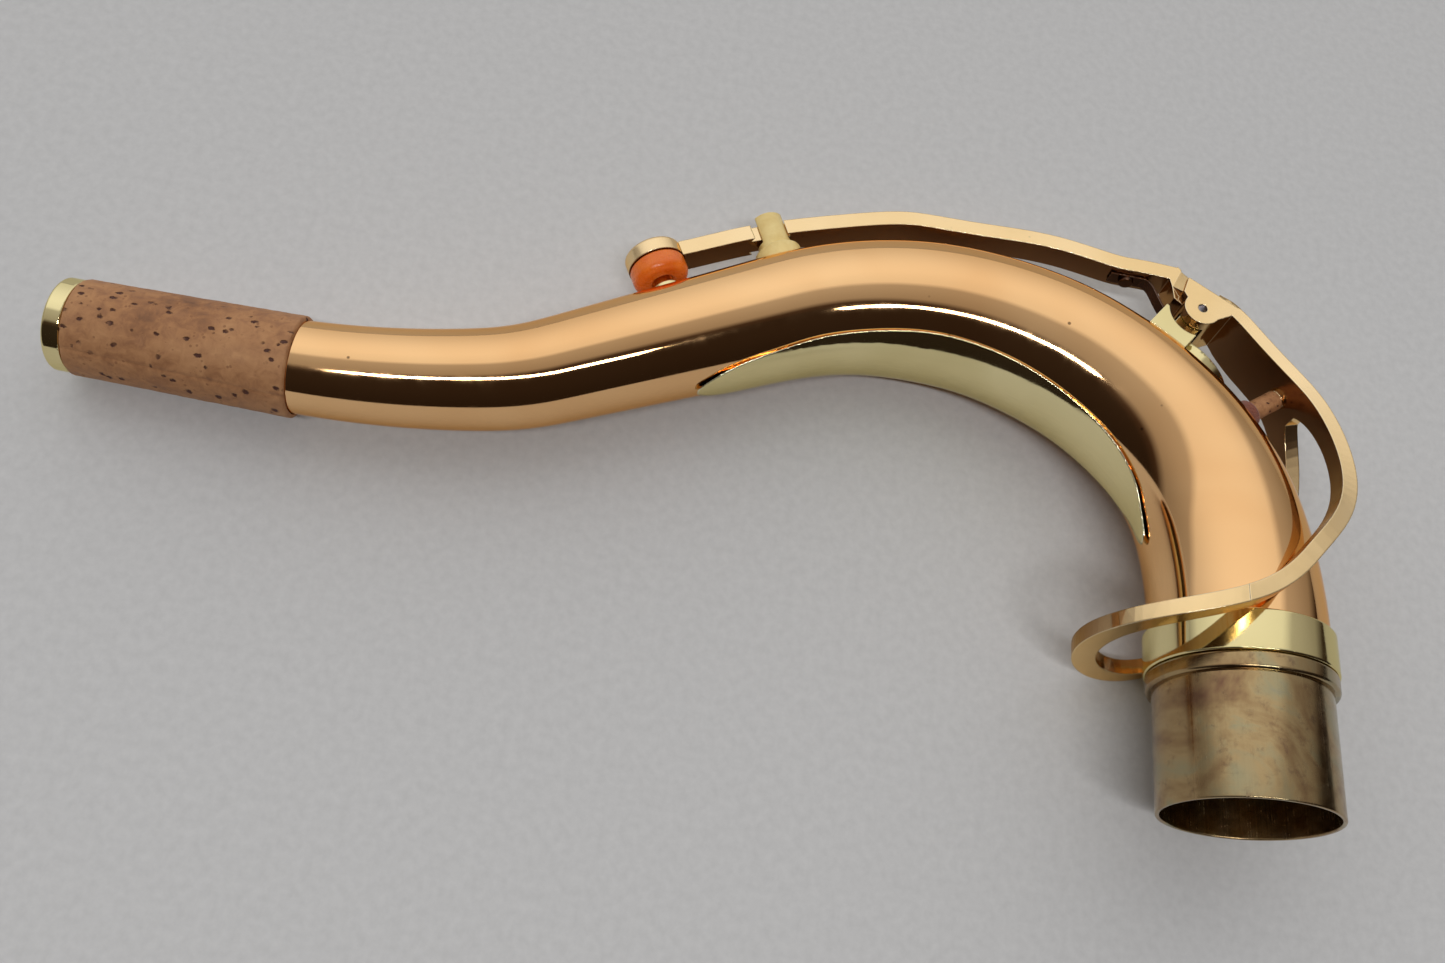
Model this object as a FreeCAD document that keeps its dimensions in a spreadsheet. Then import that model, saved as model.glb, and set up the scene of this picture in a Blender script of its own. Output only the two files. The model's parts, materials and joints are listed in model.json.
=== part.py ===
import FreeCAD, Part
import Sketcher
import math
import os
import re
from FreeCAD import Placement, Rotation, Vector

# Neck of a tenor saxophone with its octave key. Lengths in millimetres, turns in degrees.
# The neck is drawn with the tenon mouth at zero, Y up the tenon, X away from the bow and Z
# square to the neck's plane. At the end the whole neck is laid down as it rests on a table.

SIZES = {
    # path of the neck tube, from the tenon to the mouthpiece end
    "foot_run": 31.3,
    "bow1_radius": 81.9,
    "bow1_turn": 11.5,
    "bow2_radius": 39.5,
    "bow2_turn": 32.7,
    "bow3_radius": 54.2,
    "bow3_turn": 25.0,
    "bow4_radius": 62.1,
    "bow4_turn": 23.85,
    "bow5_radius": 62.1,
    "bow5_turn": 23.85,
    "slope_run": 42.0,
    "dip1_radius": 43.3,
    "dip1_turn": 14.2,
    "dip2_radius": 147.0,
    "dip2_turn": 13.9,
    "tip_run": 34.8,
    # outside radius of the tube at the end of each stretch, and its wall
    "foot_r": 14.1,
    "bow1_r": 13.84,
    "bow2_r": 13.52,
    "bow3_r": 13.21,
    "bow4_r": 12.42,
    "bow5_r": 11.0,
    "slope_r": 9.1,
    "dip1_r": 8.73,
    "dip2_r": 7.75,
    "tip_r": 6.87,
    "tube_wall": 0.6,
    # fits
    "solder_gap": 0.05,
    "overrun": 3.0,
    # tenon, bead and collar
    "tenon_r": 13.75,
    "tenon_wall": 0.7,
    "tenon_length": 19.6,
    "tenon_edge": 0.25,
    "spigot_length": 5.0,
    "bead_height": 2.9,
    "bead_r": 14.7,
    "bead_round": 1.1,
    "bead_sink": 0.25,
    "collar_height": 6.85,
    "collar_r": 14.92,
    "collar_edge": 0.3,
    # mouthpiece end
    "tip_ring_length": 3.0,
    "tip_ring_r": 7.8,
    "tip_ring_round": 0.6,
    "cork_length": 36.4,
    "cork_tip_r": 8.11,
    "cork_foot_r": 8.69,
    "cork_edge": 0.35,
    # leaf plate inside the bow
    "brace_start": 46.0,
    "brace_length": 119.0,
    "brace_half_angle": 38.5,
    "brace_thickness": 0.55,
    # octave vent and its pad
    "pad_station": 163.4,
    "vent_r": 0.9,
    "pip_bore_r": 0.8,
    "pip_r": 1.5,
    "pip_height": 3.0,
    "pip_base_r": 2.7,
    "pip_base_height": 0.8,
    "pip_base_drop": 1.0,
    "pad_gap": 0.15,
    "pad_underside": 2.2,
    "pad_r": 5.15,
    "pad_top": 6.0,
    "pad_low_round": 1.5,
    "pad_high_round": 0.6,
    "pad_neck_r": 4.4,
    "pad_neck_height": 1.0,
    "dimple_r": 2.0,
    "cup_r": 5.25,
    "cup_height": 2.9,
    "cup_round": 0.8,
    # lever guide
    "guide_station": 141.8,
    "guide_foot_r": 4.35,
    "guide_foot_height": 2.2,
    "guide_foot_drop": 2.0,
    "guide_foot_round": 0.7,
    "guide_post_r": 3.1,
    "guide_post_rise": 2.1,
    "guide_post_round": 0.35,
    "guide_slip": 0.2,
    "guide_floor_gap": 0.5,
    "guide_ring_gap": 0.35,
    "lever_neck_half": 1.6,
    # hinge
    "hinge_station": 79.1,
    "hinge_height": 9.8,
    "pin_r": 0.82,
    "pin_clearance": 0.05,
    "pin_sink": 0.1,
    "saddle_half_width": 7.8,
    "saddle_back": 5.0,
    "saddle_front": 2.6,
    "saddle_drop": 4.0,
    "horn_height": 2.9,
    "trough_r": 5.3,
    "trough_height": 5.8,
    "lug_half": 2.8,
    "lug_r": 2.2,
    "lug_gap": 0.3,
    "lug_side_gap": 0.2,
    "spring_window_low": 3.0,
    "spring_window_high": 7.5,
    "spring_window_half": 1.6,
    "saddle_foot_length": 11.3,
    "saddle_foot_half": 6.4,
    "saddle_foot_thickness": 1.9,
    "ear_half_width": 5.0,
    "ear_r": 3.4,
    "flare_sink": 0.25,
    # octave key, and how far it turns in degrees
    "key_swing": 2.5,
    "lever_half_width": 2.5,
    "lever_thickness": 3.0,
    "fork_reach": 29.0,
    "plate_thickness": 2.6,
    "fairing": 0.12,
    "loop_r": 19.2,
    "loop_width": 3.9,
    "loop_centre": 7.6,
    "loop_low": 24.3,
    "loop_rise": 3.5,
    # bumper under the fork
    "bumper_station": 65.3,
    "bumper_gap": 1.0,
    "felt_r": 2.7,
    "felt_height": 3.0,
    "felt_round": 0.6,
    "bumper_cork_r": 1.85,
    "bumper_cork_height": 6.0,
    "boss_r": 1.95,
    "boss_height": 2.6,
    # flat spring
    "spring_thickness": 0.35,
    "spring_half_width": 1.3,
    "spring_gap": 0.55,
    "spring_seat_gap": 0.15,
    "spring_land": 6.5,
    "spring_screw_r": 1.4,
    "spring_screw_height": 0.8,
    "spring_screw_round": 0.3,
    # tilt of the neck's plane when it rests on a table
    "rest_tilt_x": -4.675,
    "rest_tilt_y": -2.861,
}

# The bends as (run or radius, turn, side, outside radius at the end, sections).
STRETCHES = (
    ("foot_run", "", 0, "foot_r", 6),
    ("bow1_radius", "bow1_turn", 1, "bow1_r", 2),
    ("bow2_radius", "bow2_turn", 1, "bow2_r", 4),
    ("bow3_radius", "bow3_turn", 1, "bow3_r", 3),
    ("bow4_radius", "bow4_turn", 1, "bow4_r", 3),
    ("bow5_radius", "bow5_turn", 1, "bow5_r", 3),
    ("slope_run", "", 0, "slope_r", 4),
    ("dip1_radius", "dip1_turn", -1, "dip1_r", 2),
    ("dip2_radius", "dip2_turn", -1, "dip2_r", 3),
    ("tip_run", "", 0, "tip_r", 3),
)

# Edge of the brace as (share of its length, share of its half angle).
BRACE_SHARES = (
    (0.0, 0.0), (0.03, 0.14), (0.1, 0.36), (0.17, 0.54), (0.27, 0.7), (0.38, 0.82), (0.49, 0.94),
    (0.6, 1.0), (0.7, 0.96), (0.8, 0.9), (0.88, 0.8), (0.94, 0.62), (0.98, 0.34), (1.0, 0.0),
)

# Top of the lever as (share of the way from hinge to pad, share of the hinge height).
LEVER_SHARES = (
    (1.007, 0.932), (0.852, 0.818), (0.718, 0.742), (0.598, 0.738), (0.449, 0.796), (0.314, 0.923),
    (0.194, 1.140), (0.146, 1.255), (0.113, 1.437), (0.092, 1.560), (0.074, 1.670), (0.066, 1.722),
)

# Outer face of the key's plate from the hinge to the loop: share of the hinge station, share of
# the fork reach, then its outer and inner edges as shares of the loop radius.
PLATE_SHARES = (
    (0.996, 1.009, 0.208, 0.0), (0.974, 1.006, 0.234, 0.0), (0.955, 0.990, 0.266, 0.0),
    (0.936, 0.968, 0.289, 0.0), (0.907, 0.944, 0.297, 0.0), (0.872, 0.933, 0.299, 0.0),
    (0.834, 0.926, 0.318, 0.0), (0.799, 0.915, 0.362, 0.0), (0.782, 0.896, 0.391, 0.075),
    (0.768, 0.880, 0.411, 0.155), (0.735, 0.838, 0.466, 0.250), (0.690, 0.768, 0.545, 0.348),
    (0.645, 0.677, 0.640, 0.445), (0.600, 0.563, 0.735, 0.540), (0.552, 0.427, 0.822, 0.627),
    (0.508, 0.289, 0.893, 0.698), (0.457, 0.138, 0.950, 0.755), (0.409, 0.0, 0.986, 0.788),
    (0.377, -0.134, 0.998, 0.795),
)

# The same face past the tube: share of the loop radius past the loop's centre, share of the
# loop's rise, half width before the end is rounded as a share of the loop radius.
LOOP_SHARES = ((0.0, 1.0, 1.002), (0.25, 0.52, 1.02), (0.5, 0.23, 1.03), (0.75, 0.06, 1.03), (1.03, 0.0, 1.03))

# Corners of the ears and of the core between them, from the pin, as shares of the ear radius:
# down their left side to the round part, then up their right side.
EAR_LEFT_SHARES = ((-1.70, 1.15), (-1.36, 0.16))
EAR_RIGHT_SHARES = ((1.40, 0.84), (1.56, 1.42), (1.49, 1.53))
CORE_LEFT_SHARES = ((-2.62, 1.95), (-2.62, 1.05), (-2.10, 0.62), (-1.55, 0.02))
CORE_RIGHT_SHARES = ((1.40, 0.84), (1.56, 1.42), (1.49, 1.53), (-1.70, 1.15), (-2.35, 1.93))
# Flare from the sides of the lever to the ears: its upper and lower corners at both ends.
FLARE_SHARES = (((-2.40, 1.90), (-2.15, 0.66)), ((-1.48, 1.15), (-1.20, 0.22)))
EAR_LEFT_TURN = 180.0
EAR_RIGHT_TURN = 360.0

# Flat spring as shares of the way from its screw to its end, past the flat part.
SPRING_SHARES = ((0.08, 0.03), (0.2, 0.16), (0.4, 0.42), (0.7, 0.75))
SPRING_SCREW_SHARE = 0.122
SPRING_END_SHARE = 0.92

# Leaf of the saddle foot as (share of its length, share of its half width).
LEAF_SHARES = ((0.0, 0.92), (0.2, 1.0), (0.45, 0.93), (0.7, 0.68), (0.88, 0.36), (1.0, 0.0))

doc = FreeCAD.newDocument("neck")
sheet = doc.addObject("Spreadsheet::Sheet", "sizes")
for row, (name, number) in enumerate(SIZES.items(), start=1):
    sheet.set("A%d" % row, name)
    sheet.set("B%d" % row, str(number))
    sheet.setAlias("B%d" % row, name)
doc.recompute()


def cells(text):
    """Point every size named in a formula at its cell."""
    return re.sub(r"[a-z_][a-z0-9_]*", lambda found: "sizes." + found.group(0), text)


def size(text):
    """Number that a formula of named sizes gives."""
    return float(sheet.evalExpression(cells(text)))


def bind(thing, prop, text):
    """Tie a property to a formula of named sizes."""
    thing.setExpression(prop, cells(text))


def stretch_state(start, heading, name, side, along):
    """Point and heading some way along one stretch."""
    turned = 0.0
    if side:
        turned = math.degrees(along / size(name)) * side
    way = math.radians(heading + turned / 2)
    chord = along
    if side:
        chord = 2 * size(name) * math.sin(math.radians(abs(turned)) / 2)
    point = start + Vector(math.cos(way), math.sin(way), 0) * chord
    return point, heading + turned


def lay_out():
    """Every stretch with its first station, start, heading, length and end radii."""
    point = Vector(0, 0, 0)
    heading = 90.0
    station = 0.0
    radius = size("foot_r")
    rows = []
    for name, turn_name, side, radius_name, spans in STRETCHES:
        length = size(name)
        if side:
            length = size(name) * math.radians(size(turn_name))
        row = (station, point, heading, length, radius, size(radius_name), name, side, spans)
        rows.append(row)
        point, heading = stretch_state(point, heading, name, side, length)
        station += length
        radius = size(radius_name)
    return rows, station


LAYOUT, TUBE_END = lay_out()


def along_tube(station):
    """Centre, heading and outside radius of the tube at a station."""
    row = LAYOUT[0]
    for candidate in LAYOUT:
        if station >= candidate[0]:
            row = candidate
    first, start, heading, length, radius_a, radius_b, name, side, spans = row
    run = station - first
    if station < 0 or station > TUBE_END:
        way = math.radians(heading)
        share = min(max(run / length, 0.0), 1.0)
        point = start + Vector(math.cos(way), math.sin(way), 0) * run
        return point, heading, radius_a + (radius_b - radius_a) * share
    point, turned = stretch_state(start, heading, name, side, run)
    return point, turned, radius_a + (radius_b - radius_a) * run / length


def outward(station):
    """Unit vector from the centre line to the outside of the bow."""
    way = math.radians(along_tube(station)[1])
    return Vector(math.sin(way), -math.cos(way), 0)


def beside_tube(station, offset):
    """Point at an offset from the centre line, outwards positive."""
    return along_tube(station)[0] + outward(station) * offset


def on_tube(station):
    """Frame on the outside of the bow: X towards the tenon, Y away from the tube."""
    centre, heading, radius = along_tube(station)
    normal = outward(station)
    turn = math.degrees(math.atan2(normal.y, normal.x)) - 90.0
    return Placement(centre + normal * radius, Rotation(Vector(0, 0, 1), turn))


def sections(first, last):
    """Stations for the tube's sections between two stations."""
    marks = [first]
    for row in LAYOUT:
        spans = row[8]
        for step in range(spans):
            mark = row[0] + row[3] * (step + 1) / spans
            if first + size("tube_wall") * 2 < mark < last - size("tube_wall") * 2:
                marks.append(mark)
    marks.append(last)
    return marks


def tube_loft(name, first, last, grow):
    """Round bent bar that follows the neck, grown or shrunk by a named size."""
    rings = []
    for number, station in enumerate(sections(first, last)):
        centre, heading, radius = along_tube(station)
        ring = doc.addObject("Part::Circle", "%s_ring_%d" % (name, number))
        bind(ring, "Radius", grow + " + %.9f * foot_r" % (radius / size("foot_r")))
        way = math.radians(heading)
        ahead = Vector(math.cos(way), math.sin(way), 0)
        side = outward(station)
        matrix = FreeCAD.Matrix(
            side.x, 0, ahead.x, centre.x,
            side.y, 0, ahead.y, centre.y,
            0, -1, 0, 0,
        )
        ring.Placement = Placement(matrix)
        rings.append(ring)
    loft = doc.addObject("Part::Loft", name)
    loft.Sections = rings
    loft.Solid = True
    return loft


def cut(name, base, tool):
    """One solid less another."""
    result = doc.addObject("Part::Cut", name)
    result.Base = base
    result.Tool = tool
    return result


def join(name, shapes):
    """Several solids as one."""
    result = doc.addObject("Part::MultiFuse", name)
    result.Shapes = shapes
    return result


def meet(name, shapes):
    """What several solids share."""
    result = doc.addObject("Part::MultiCommon", name)
    result.Shapes = shapes
    return result


def cylinder(name, radius, height, placement):
    """Cylinder with its axis along the placement's Z."""
    result = doc.addObject("Part::Cylinder", name)
    bind(result, "Radius", radius)
    bind(result, "Height", height)
    result.Placement = placement
    return result


def box(name, length, width, height, placement):
    """Box that starts at the placement's corner."""
    result = doc.addObject("Part::Box", name)
    bind(result, "Length", length)
    bind(result, "Width", width)
    bind(result, "Height", height)
    result.Placement = placement
    return result


def own_plane(body, role):
    """One of the body's own origin planes."""
    for feature in body.Origin.OriginFeatures:
        if feature.Role == role:
            return feature
    return None


def pin_down(sketch, vertex, across, up):
    """Hold one corner of a sketch at a formula of named sizes each way."""
    for kind, text in (("DistanceX", across), ("DistanceY", up)):
        number = size(text)
        if abs(number) < 1e-9:
            axis = -2 if kind == "DistanceX" else -1
            sketch.addConstraint(Sketcher.Constraint("PointOnObject", vertex, 1, axis))
        elif number > 0:
            held = sketch.addConstraint(Sketcher.Constraint(kind, -1, 1, vertex, 1, number))
            sketch.setExpression("Constraints[%d]" % held, cells(text))
        else:
            held = sketch.addConstraint(Sketcher.Constraint(kind, vertex, 1, -1, 1, -number))
            sketch.setExpression("Constraints[%d]" % held, cells("-(" + text + ")"))


def outline(body, name, corners):
    """Closed outline with each corner tied to named sizes."""
    sketch = body.newObject("Sketcher::SketchObject", name)
    sketch.AttachmentSupport = [(own_plane(body, "XY_Plane"), "")]
    sketch.MapMode = "FlatFace"
    places = [Vector(size(across), size(up), 0) for across, up in corners]
    for number, place in enumerate(places):
        sketch.addGeometry(Part.LineSegment(place, places[(number + 1) % len(places)]))
    for number in range(len(places)):
        following = (number + 1) % len(places)
        sketch.addConstraint(Sketcher.Constraint("Coincident", number, 2, following, 1))
    for number, (across, up) in enumerate(corners):
        pin_down(sketch, number, across, up)
    return sketch


def rims(shape, radius, height):
    """Names of the round edges with a radius at a height."""
    found = []
    for number, edge in enumerate(shape.Edges, start=1):
        if not isinstance(edge.Curve, Part.Circle):
            continue
        if abs(edge.Curve.Radius - radius) < 1e-4 and abs(edge.Curve.Center.y - height) < 1e-4:
            found.append("Edge%d" % number)
    return found


def turned(name, corners, rounds, placement):
    """Body turned about its own Y axis from (radius, height) corners, with rounded rims."""
    body = doc.addObject("PartDesign::Body", name)
    sketch = outline(body, name + "_profile", corners)
    revolution = body.newObject("PartDesign::Revolution", name + "_turn")
    revolution.Profile = sketch
    revolution.ReferenceAxis = (sketch, ["V_Axis"])
    revolution.Angle = 360.0
    doc.recompute()
    base = revolution
    for number, (radius, height, amount) in enumerate(rounds):
        edges = rims(base.Shape, size(radius), size(height))
        fillet = body.newObject("PartDesign::Fillet", "%s_round_%d" % (name, number))
        fillet.Base = (base, edges)
        bind(fillet, "Radius", amount)
        body.Tip = fillet
        doc.recompute()
        base = fillet
    body.Placement = placement
    return body


def band(name, rows):
    """Bar through four-cornered sections."""
    frames = []
    for number, corners in enumerate(rows):
        frame = doc.addObject("Part::Polygon", "%s_frame_%d" % (name, number))
        frame.Nodes = corners
        frame.Close = True
        frames.append(frame)
    loft = doc.addObject("Part::Loft", name)
    loft.Sections = frames
    loft.Solid = True
    return loft


def under(points, thicknesses):
    """Points below a path, square to it on its inner side, one thickness for each."""
    lower = []
    for number, point in enumerate(points):
        before = points[max(number - 1, 0)]
        after = points[min(number + 1, len(points) - 1)]
        ahead = (after - before).normalize()
        lower.append(point + Vector(ahead.y, -ahead.x, 0) * thicknesses[number])
    return lower


def flat(point, level):
    """A point of the neck's plane moved square to it."""
    return Vector(point.x, point.y, level)


def prism(name, wires, half):
    """Bar along Z, to both sides of the neck's plane, of an outline of edges."""
    sketch = doc.addObject("Sketcher::SketchObject", name + "_outline")
    for edge in wires:
        sketch.addGeometry(edge)
    result = doc.addObject("Part::Extrusion", name)
    result.Base = sketch
    result.DirMode = "Custom"
    result.Dir = Vector(0, 0, 1)
    result.Solid = True
    result.Symmetric = True
    bind(result, "LengthFwd", "2 * (" + half + ")")
    return result


def smooth(points):
    """Curve through points."""
    curve = Part.BSplineCurve()
    curve.interpolate(points)
    return curve


def chain(points):
    """Straight edges from point to point."""
    return [Part.LineSegment(a, b) for a, b in zip(points, points[1:])]


# Tube, and the bar that other pieces are seated on. The frame at its end has Y back along the tube.
overrun = size("overrun")
tube_start = size("tenon_length + bead_height")
tube_outside = tube_loft("tube_outside", tube_start - overrun, TUBE_END + overrun, "0 * foot_r")
tube_bore = tube_loft("tube_bore", tube_start - overrun, TUBE_END + overrun, "-tube_wall")
tube_seat = tube_loft("tube_seat", tube_start - overrun, TUBE_END + overrun, "solder_gap")
pad_frame = on_tube(size("pad_station"))
facing_out = Rotation(Vector(1, 0, 0), -90)
vent_hole = cylinder(
    "vent_hole", "vent_r", "2 * foot_r / 2",
    pad_frame * Placement(Vector(0, -size("foot_r") / 2, 0), facing_out),
)
tip_point, tip_heading, tip_radius = along_tube(TUBE_END)
tip_frame = Placement(tip_point, Rotation(Vector(0, 0, 1), tip_heading + 90.0))
foot_waste = cylinder(
    "foot_waste", "2 * foot_r", "2 * overrun",
    Placement(Vector(0, tube_start - 2 * overrun, 0), facing_out),
)
tip_waste = cylinder(
    "tip_waste", "2 * foot_r", "2 * overrun",
    tip_frame * Placement(Vector(0, -2 * overrun, 0), facing_out),
)
tube_waste = join("tube_waste", [tube_bore, foot_waste, tip_waste, vent_hole])
neck_tube = cut("neck_tube", tube_outside, tube_waste)

# Tenon with the spigot that enters the tube, and the bead and collar round it.
spigot_top = "tenon_length + bead_height + spigot_length"
tenon = turned(
    "tenon",
    (
        ("tenon_r - tenon_wall + tenon_edge", "0"),
        ("tenon_r - tenon_edge", "0"),
        ("tenon_r", "tenon_edge"),
        ("tenon_r", "tenon_length"),
        ("tenon_r - bead_sink", "tenon_length"),
        ("tenon_r - bead_sink", "tenon_length + bead_height"),
        ("foot_r - tube_wall - solder_gap", "tenon_length + bead_height"),
        ("foot_r - tube_wall - solder_gap", spigot_top),
        ("tenon_r - tenon_wall", spigot_top),
        ("tenon_r - tenon_wall", "tenon_edge"),
    ),
    (),
    Placement(),
)
shoulder_bead = turned(
    "shoulder_bead",
    (
        ("tenon_r - bead_sink + solder_gap", "tenon_length"),
        ("bead_r", "tenon_length"),
        ("bead_r", "tenon_length + bead_height"),
        ("tenon_r - bead_sink + solder_gap", "tenon_length + bead_height"),
    ),
    (
        ("bead_r", "tenon_length", "bead_round / 2"),
        ("bead_r", "tenon_length + bead_height", "bead_round / 2"),
    ),
    Placement(),
)
collar_top = "tenon_length + bead_height + collar_height"
collar_blank = turned(
    "collar_blank",
    (
        ("0", "tenon_length + bead_height"),
        ("collar_r", "tenon_length + bead_height"),
        ("collar_r", collar_top),
        ("0", collar_top),
    ),
    (
        ("collar_r", collar_top, "collar_edge"),
        ("collar_r", "tenon_length + bead_height", "collar_edge"),
    ),
    Placement(),
)
collar_ring = cut("collar_ring", collar_blank, tube_seat)

# Mouthpiece end.
ring_blank = turned(
    "ring_blank",
    (
        ("0", "0"),
        ("tip_ring_r", "0"),
        ("tip_ring_r", "tip_ring_length"),
        ("0", "tip_ring_length"),
    ),
    (
        ("tip_ring_r", "0", "tip_ring_round"),
        ("tip_ring_r", "tip_ring_length", "tip_ring_round / 2"),
    ),
    tip_frame,
)
tip_ring = cut("tip_ring", ring_blank, tube_seat)
cork_foot = "tip_ring_length + solder_gap + cork_length"
cork_blank = turned(
    "cork_blank",
    (
        ("0", "tip_ring_length + solder_gap"),
        ("cork_tip_r - cork_edge", "tip_ring_length + solder_gap"),
        ("cork_tip_r", "tip_ring_length + solder_gap + cork_edge"),
        ("cork_foot_r", cork_foot + " - cork_edge"),
        ("cork_foot_r - cork_edge", cork_foot),
        ("0", cork_foot),
    ),
    (),
    tip_frame,
)
neck_cork = cut("neck_cork", cork_blank, tube_seat)

# Leaf plate soldered inside the bow: a thin skin over the tube inside a leaf-shaped outline.
brace_start = size("brace_start")
brace_end = brace_start + size("brace_length")
brace_skin = tube_loft(
    "brace_skin", brace_start - overrun, brace_end + overrun, "solder_gap + brace_thickness"
)
brace_edge = []
brace_back = []
for along_share, angle_share in BRACE_SHARES:
    station = brace_start + size("brace_length") * along_share
    reach = along_tube(station)[2] + size("solder_gap + brace_thickness")
    lean = math.cos(math.radians(size("brace_half_angle") * angle_share))
    brace_edge.append(beside_tube(station, -reach * lean))
    brace_back.append(beside_tube(station, -reach - size("brace_thickness")))
brace_prism = prism(
    "brace_prism",
    [smooth(brace_edge)] + chain([brace_edge[-1]] + brace_back[::-1] + [brace_edge[0]]),
    "foot_r",
)
brace_leaf = meet("brace_leaf", [brace_skin, brace_prism])
underside_brace = cut("underside_brace", brace_leaf, tube_seat)

# Octave vent nipple on the tube.
pip_blank = turned(
    "pip_blank",
    (
        ("pip_bore_r", "-pip_base_drop"),
        ("pip_base_r", "-pip_base_drop"),
        ("pip_base_r", "pip_base_height"),
        ("pip_r", "pip_base_height"),
        ("pip_r", "pip_height"),
        ("pip_bore_r", "pip_height"),
    ),
    (),
    pad_frame,
)
vent_pip = cut("vent_pip", pip_blank, tube_seat)

# Pad with a hollow over the nipple, and the cup that holds it.
octave_pad = turned(
    "octave_pad",
    (
        ("0", "pip_height + pad_gap"),
        ("dimple_r", "pip_height + pad_gap"),
        ("dimple_r", "pad_underside"),
        ("pad_r", "pad_underside"),
        ("pad_r", "pad_top"),
        ("pad_neck_r", "pad_top"),
        ("pad_neck_r", "pad_top + pad_neck_height"),
        ("0", "pad_top + pad_neck_height"),
    ),
    (
        ("pad_r", "pad_underside", "pad_low_round"),
        ("pad_r", "pad_top", "pad_high_round"),
        ("dimple_r", "pad_underside", "pad_low_round / 3"),
    ),
    pad_frame,
)
cup_foot = "pad_top + solder_gap"
cup_roof = "pad_top + pad_neck_height + solder_gap"
pad_cup = turned(
    "pad_cup",
    (
        ("0", cup_roof),
        ("pad_neck_r + solder_gap", cup_roof),
        ("pad_neck_r + solder_gap", cup_foot),
        ("cup_r", cup_foot),
        ("cup_r", cup_foot + " + cup_height"),
        ("0", cup_foot + " + cup_height"),
    ),
    (("cup_r", cup_foot + " + cup_height", "cup_round"),),
    pad_frame,
)

# Lever path: its top face runs at these places over the tube.
hinge_station = size("hinge_station")
hinge_frame = on_tube(hinge_station)
pin_place = hinge_frame * Placement(Vector(0, size("hinge_height"), 0), Rotation())
lever_top = []
for way_share, height_share in LEVER_SHARES:
    station = hinge_station + (size("pad_station") - hinge_station) * way_share
    height = along_tube(station)[2] + size("hinge_height") * height_share
    lever_top.append(beside_tube(station, height))
lever_low = under(lever_top, [size("lever_thickness")] * len(lever_top))
half = size("lever_half_width")
lever_bar = band(
    "lever_bar",
    [(flat(a, half), flat(a, -half), flat(b, -half), flat(b, half)) for a, b in zip(lever_top, lever_low)],
)


def height_over_tube(points, place):
    """Height of a path over the frame's origin, where the path crosses the frame's axis."""
    near = [place.inverse().multVec(point) for point in points]
    for a, b in zip(near, near[1:]):
        if min(a.x, b.x) <= 0 <= max(a.x, b.x):
            return a.y + (b.y - a.y) * (0 - a.x) / (b.x - a.x)
    return near[0].y


# Guide: a foot on the tube and a slotted post that the lever rides in.
guide_frame = on_tube(size("guide_station"))
lever_crest = height_over_tube(lever_top, guide_frame)
lever_belly = height_over_tube(lever_low, guide_frame)
guide_foot_blank = turned(
    "guide_foot_blank",
    (
        ("0", "-guide_foot_drop"),
        ("guide_foot_r", "-guide_foot_drop"),
        ("guide_foot_r", "guide_foot_height"),
        ("0", "guide_foot_height"),
    ),
    (("guide_foot_r", "guide_foot_height", "guide_foot_round"),),
    guide_frame,
)
guide_foot = cut("guide_foot", guide_foot_blank, tube_seat)
crest = "%.9f * hinge_height" % (lever_crest / size("hinge_height"))
belly = "%.9f * hinge_height" % (lever_belly / size("hinge_height"))
guide_post_blank = turned(
    "guide_post_blank",
    (
        ("0", "guide_foot_height"),
        ("guide_post_r", "guide_foot_height"),
        ("guide_post_r", crest + " + guide_post_rise"),
        ("0", crest + " + guide_post_rise"),
    ),
    (("guide_post_r", crest + " + guide_post_rise", "guide_post_round"),),
    guide_frame,
)
slot_corner = Vector(
    -size("guide_post_r") - overrun,
    lever_belly - size("guide_floor_gap"),
    -size("lever_neck_half + guide_slip"),
)
guide_slot = box(
    "guide_slot", "2 * (guide_post_r + overrun)", "hinge_height", "2 * (lever_neck_half + guide_slip)",
    guide_frame * Placement(slot_corner, Rotation()),
)
guide_post = cut("guide_post", guide_post_blank, guide_slot)

# The lever is necked where it runs in the guide, with room for the post over the whole swing.
swing = Placement(Vector(0, 0, 0), Rotation(Vector(0, 0, 1), size("key_swing")))
neck_ring = cylinder(
    "neck_ring", "guide_post_r + guide_ring_gap", "2 * hinge_height",
    guide_frame * Placement(Vector(0, 0, 0), facing_out),
)
neck_ring_open = cylinder(
    "neck_ring_open", "guide_post_r + guide_ring_gap", "2 * hinge_height",
    pin_place * swing * pin_place.inverse() * guide_frame * Placement(Vector(0, 0, 0), facing_out),
)
neck_rings = join("neck_rings", [neck_ring, neck_ring_open])
neck_corner = Vector(
    -size("guide_post_r") - overrun,
    -overrun,
    -size("lever_neck_half"),
)
neck_core = box(
    "neck_core", "2 * (guide_post_r + overrun)", "2 * hinge_height + 2 * overrun", "2 * lever_neck_half",
    guide_frame * Placement(neck_corner, Rotation()),
)
neck_waste = cut("neck_waste", neck_rings, neck_core)

# Saddle: a block on the tube with a trough to each side of the lug that carries the pivot.
saddle_block = doc.addObject("PartDesign::Body", "saddle_block")
saddle_profile = outline(
    saddle_block,
    "saddle_profile",
    (
        ("-saddle_back", "-saddle_drop"),
        ("saddle_front", "-saddle_drop"),
        ("saddle_front", "horn_height"),
        ("-saddle_back", "horn_height"),
    ),
)
saddle_pad = saddle_block.newObject("PartDesign::Pad", "saddle_pad")
saddle_pad.Profile = saddle_profile
saddle_pad.SideType = "Symmetric"
bind(saddle_pad, "Length", "2 * saddle_half_width")
saddle_block.Placement = hinge_frame
trough_height = size("trough_height")
trough_back = -size("saddle_half_width") - overrun
trough_left = cylinder(
    "trough_left", "trough_r", "saddle_half_width + overrun - lug_half",
    hinge_frame * Placement(Vector(0, trough_height, size("lug_half")), Rotation()),
)
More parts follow.
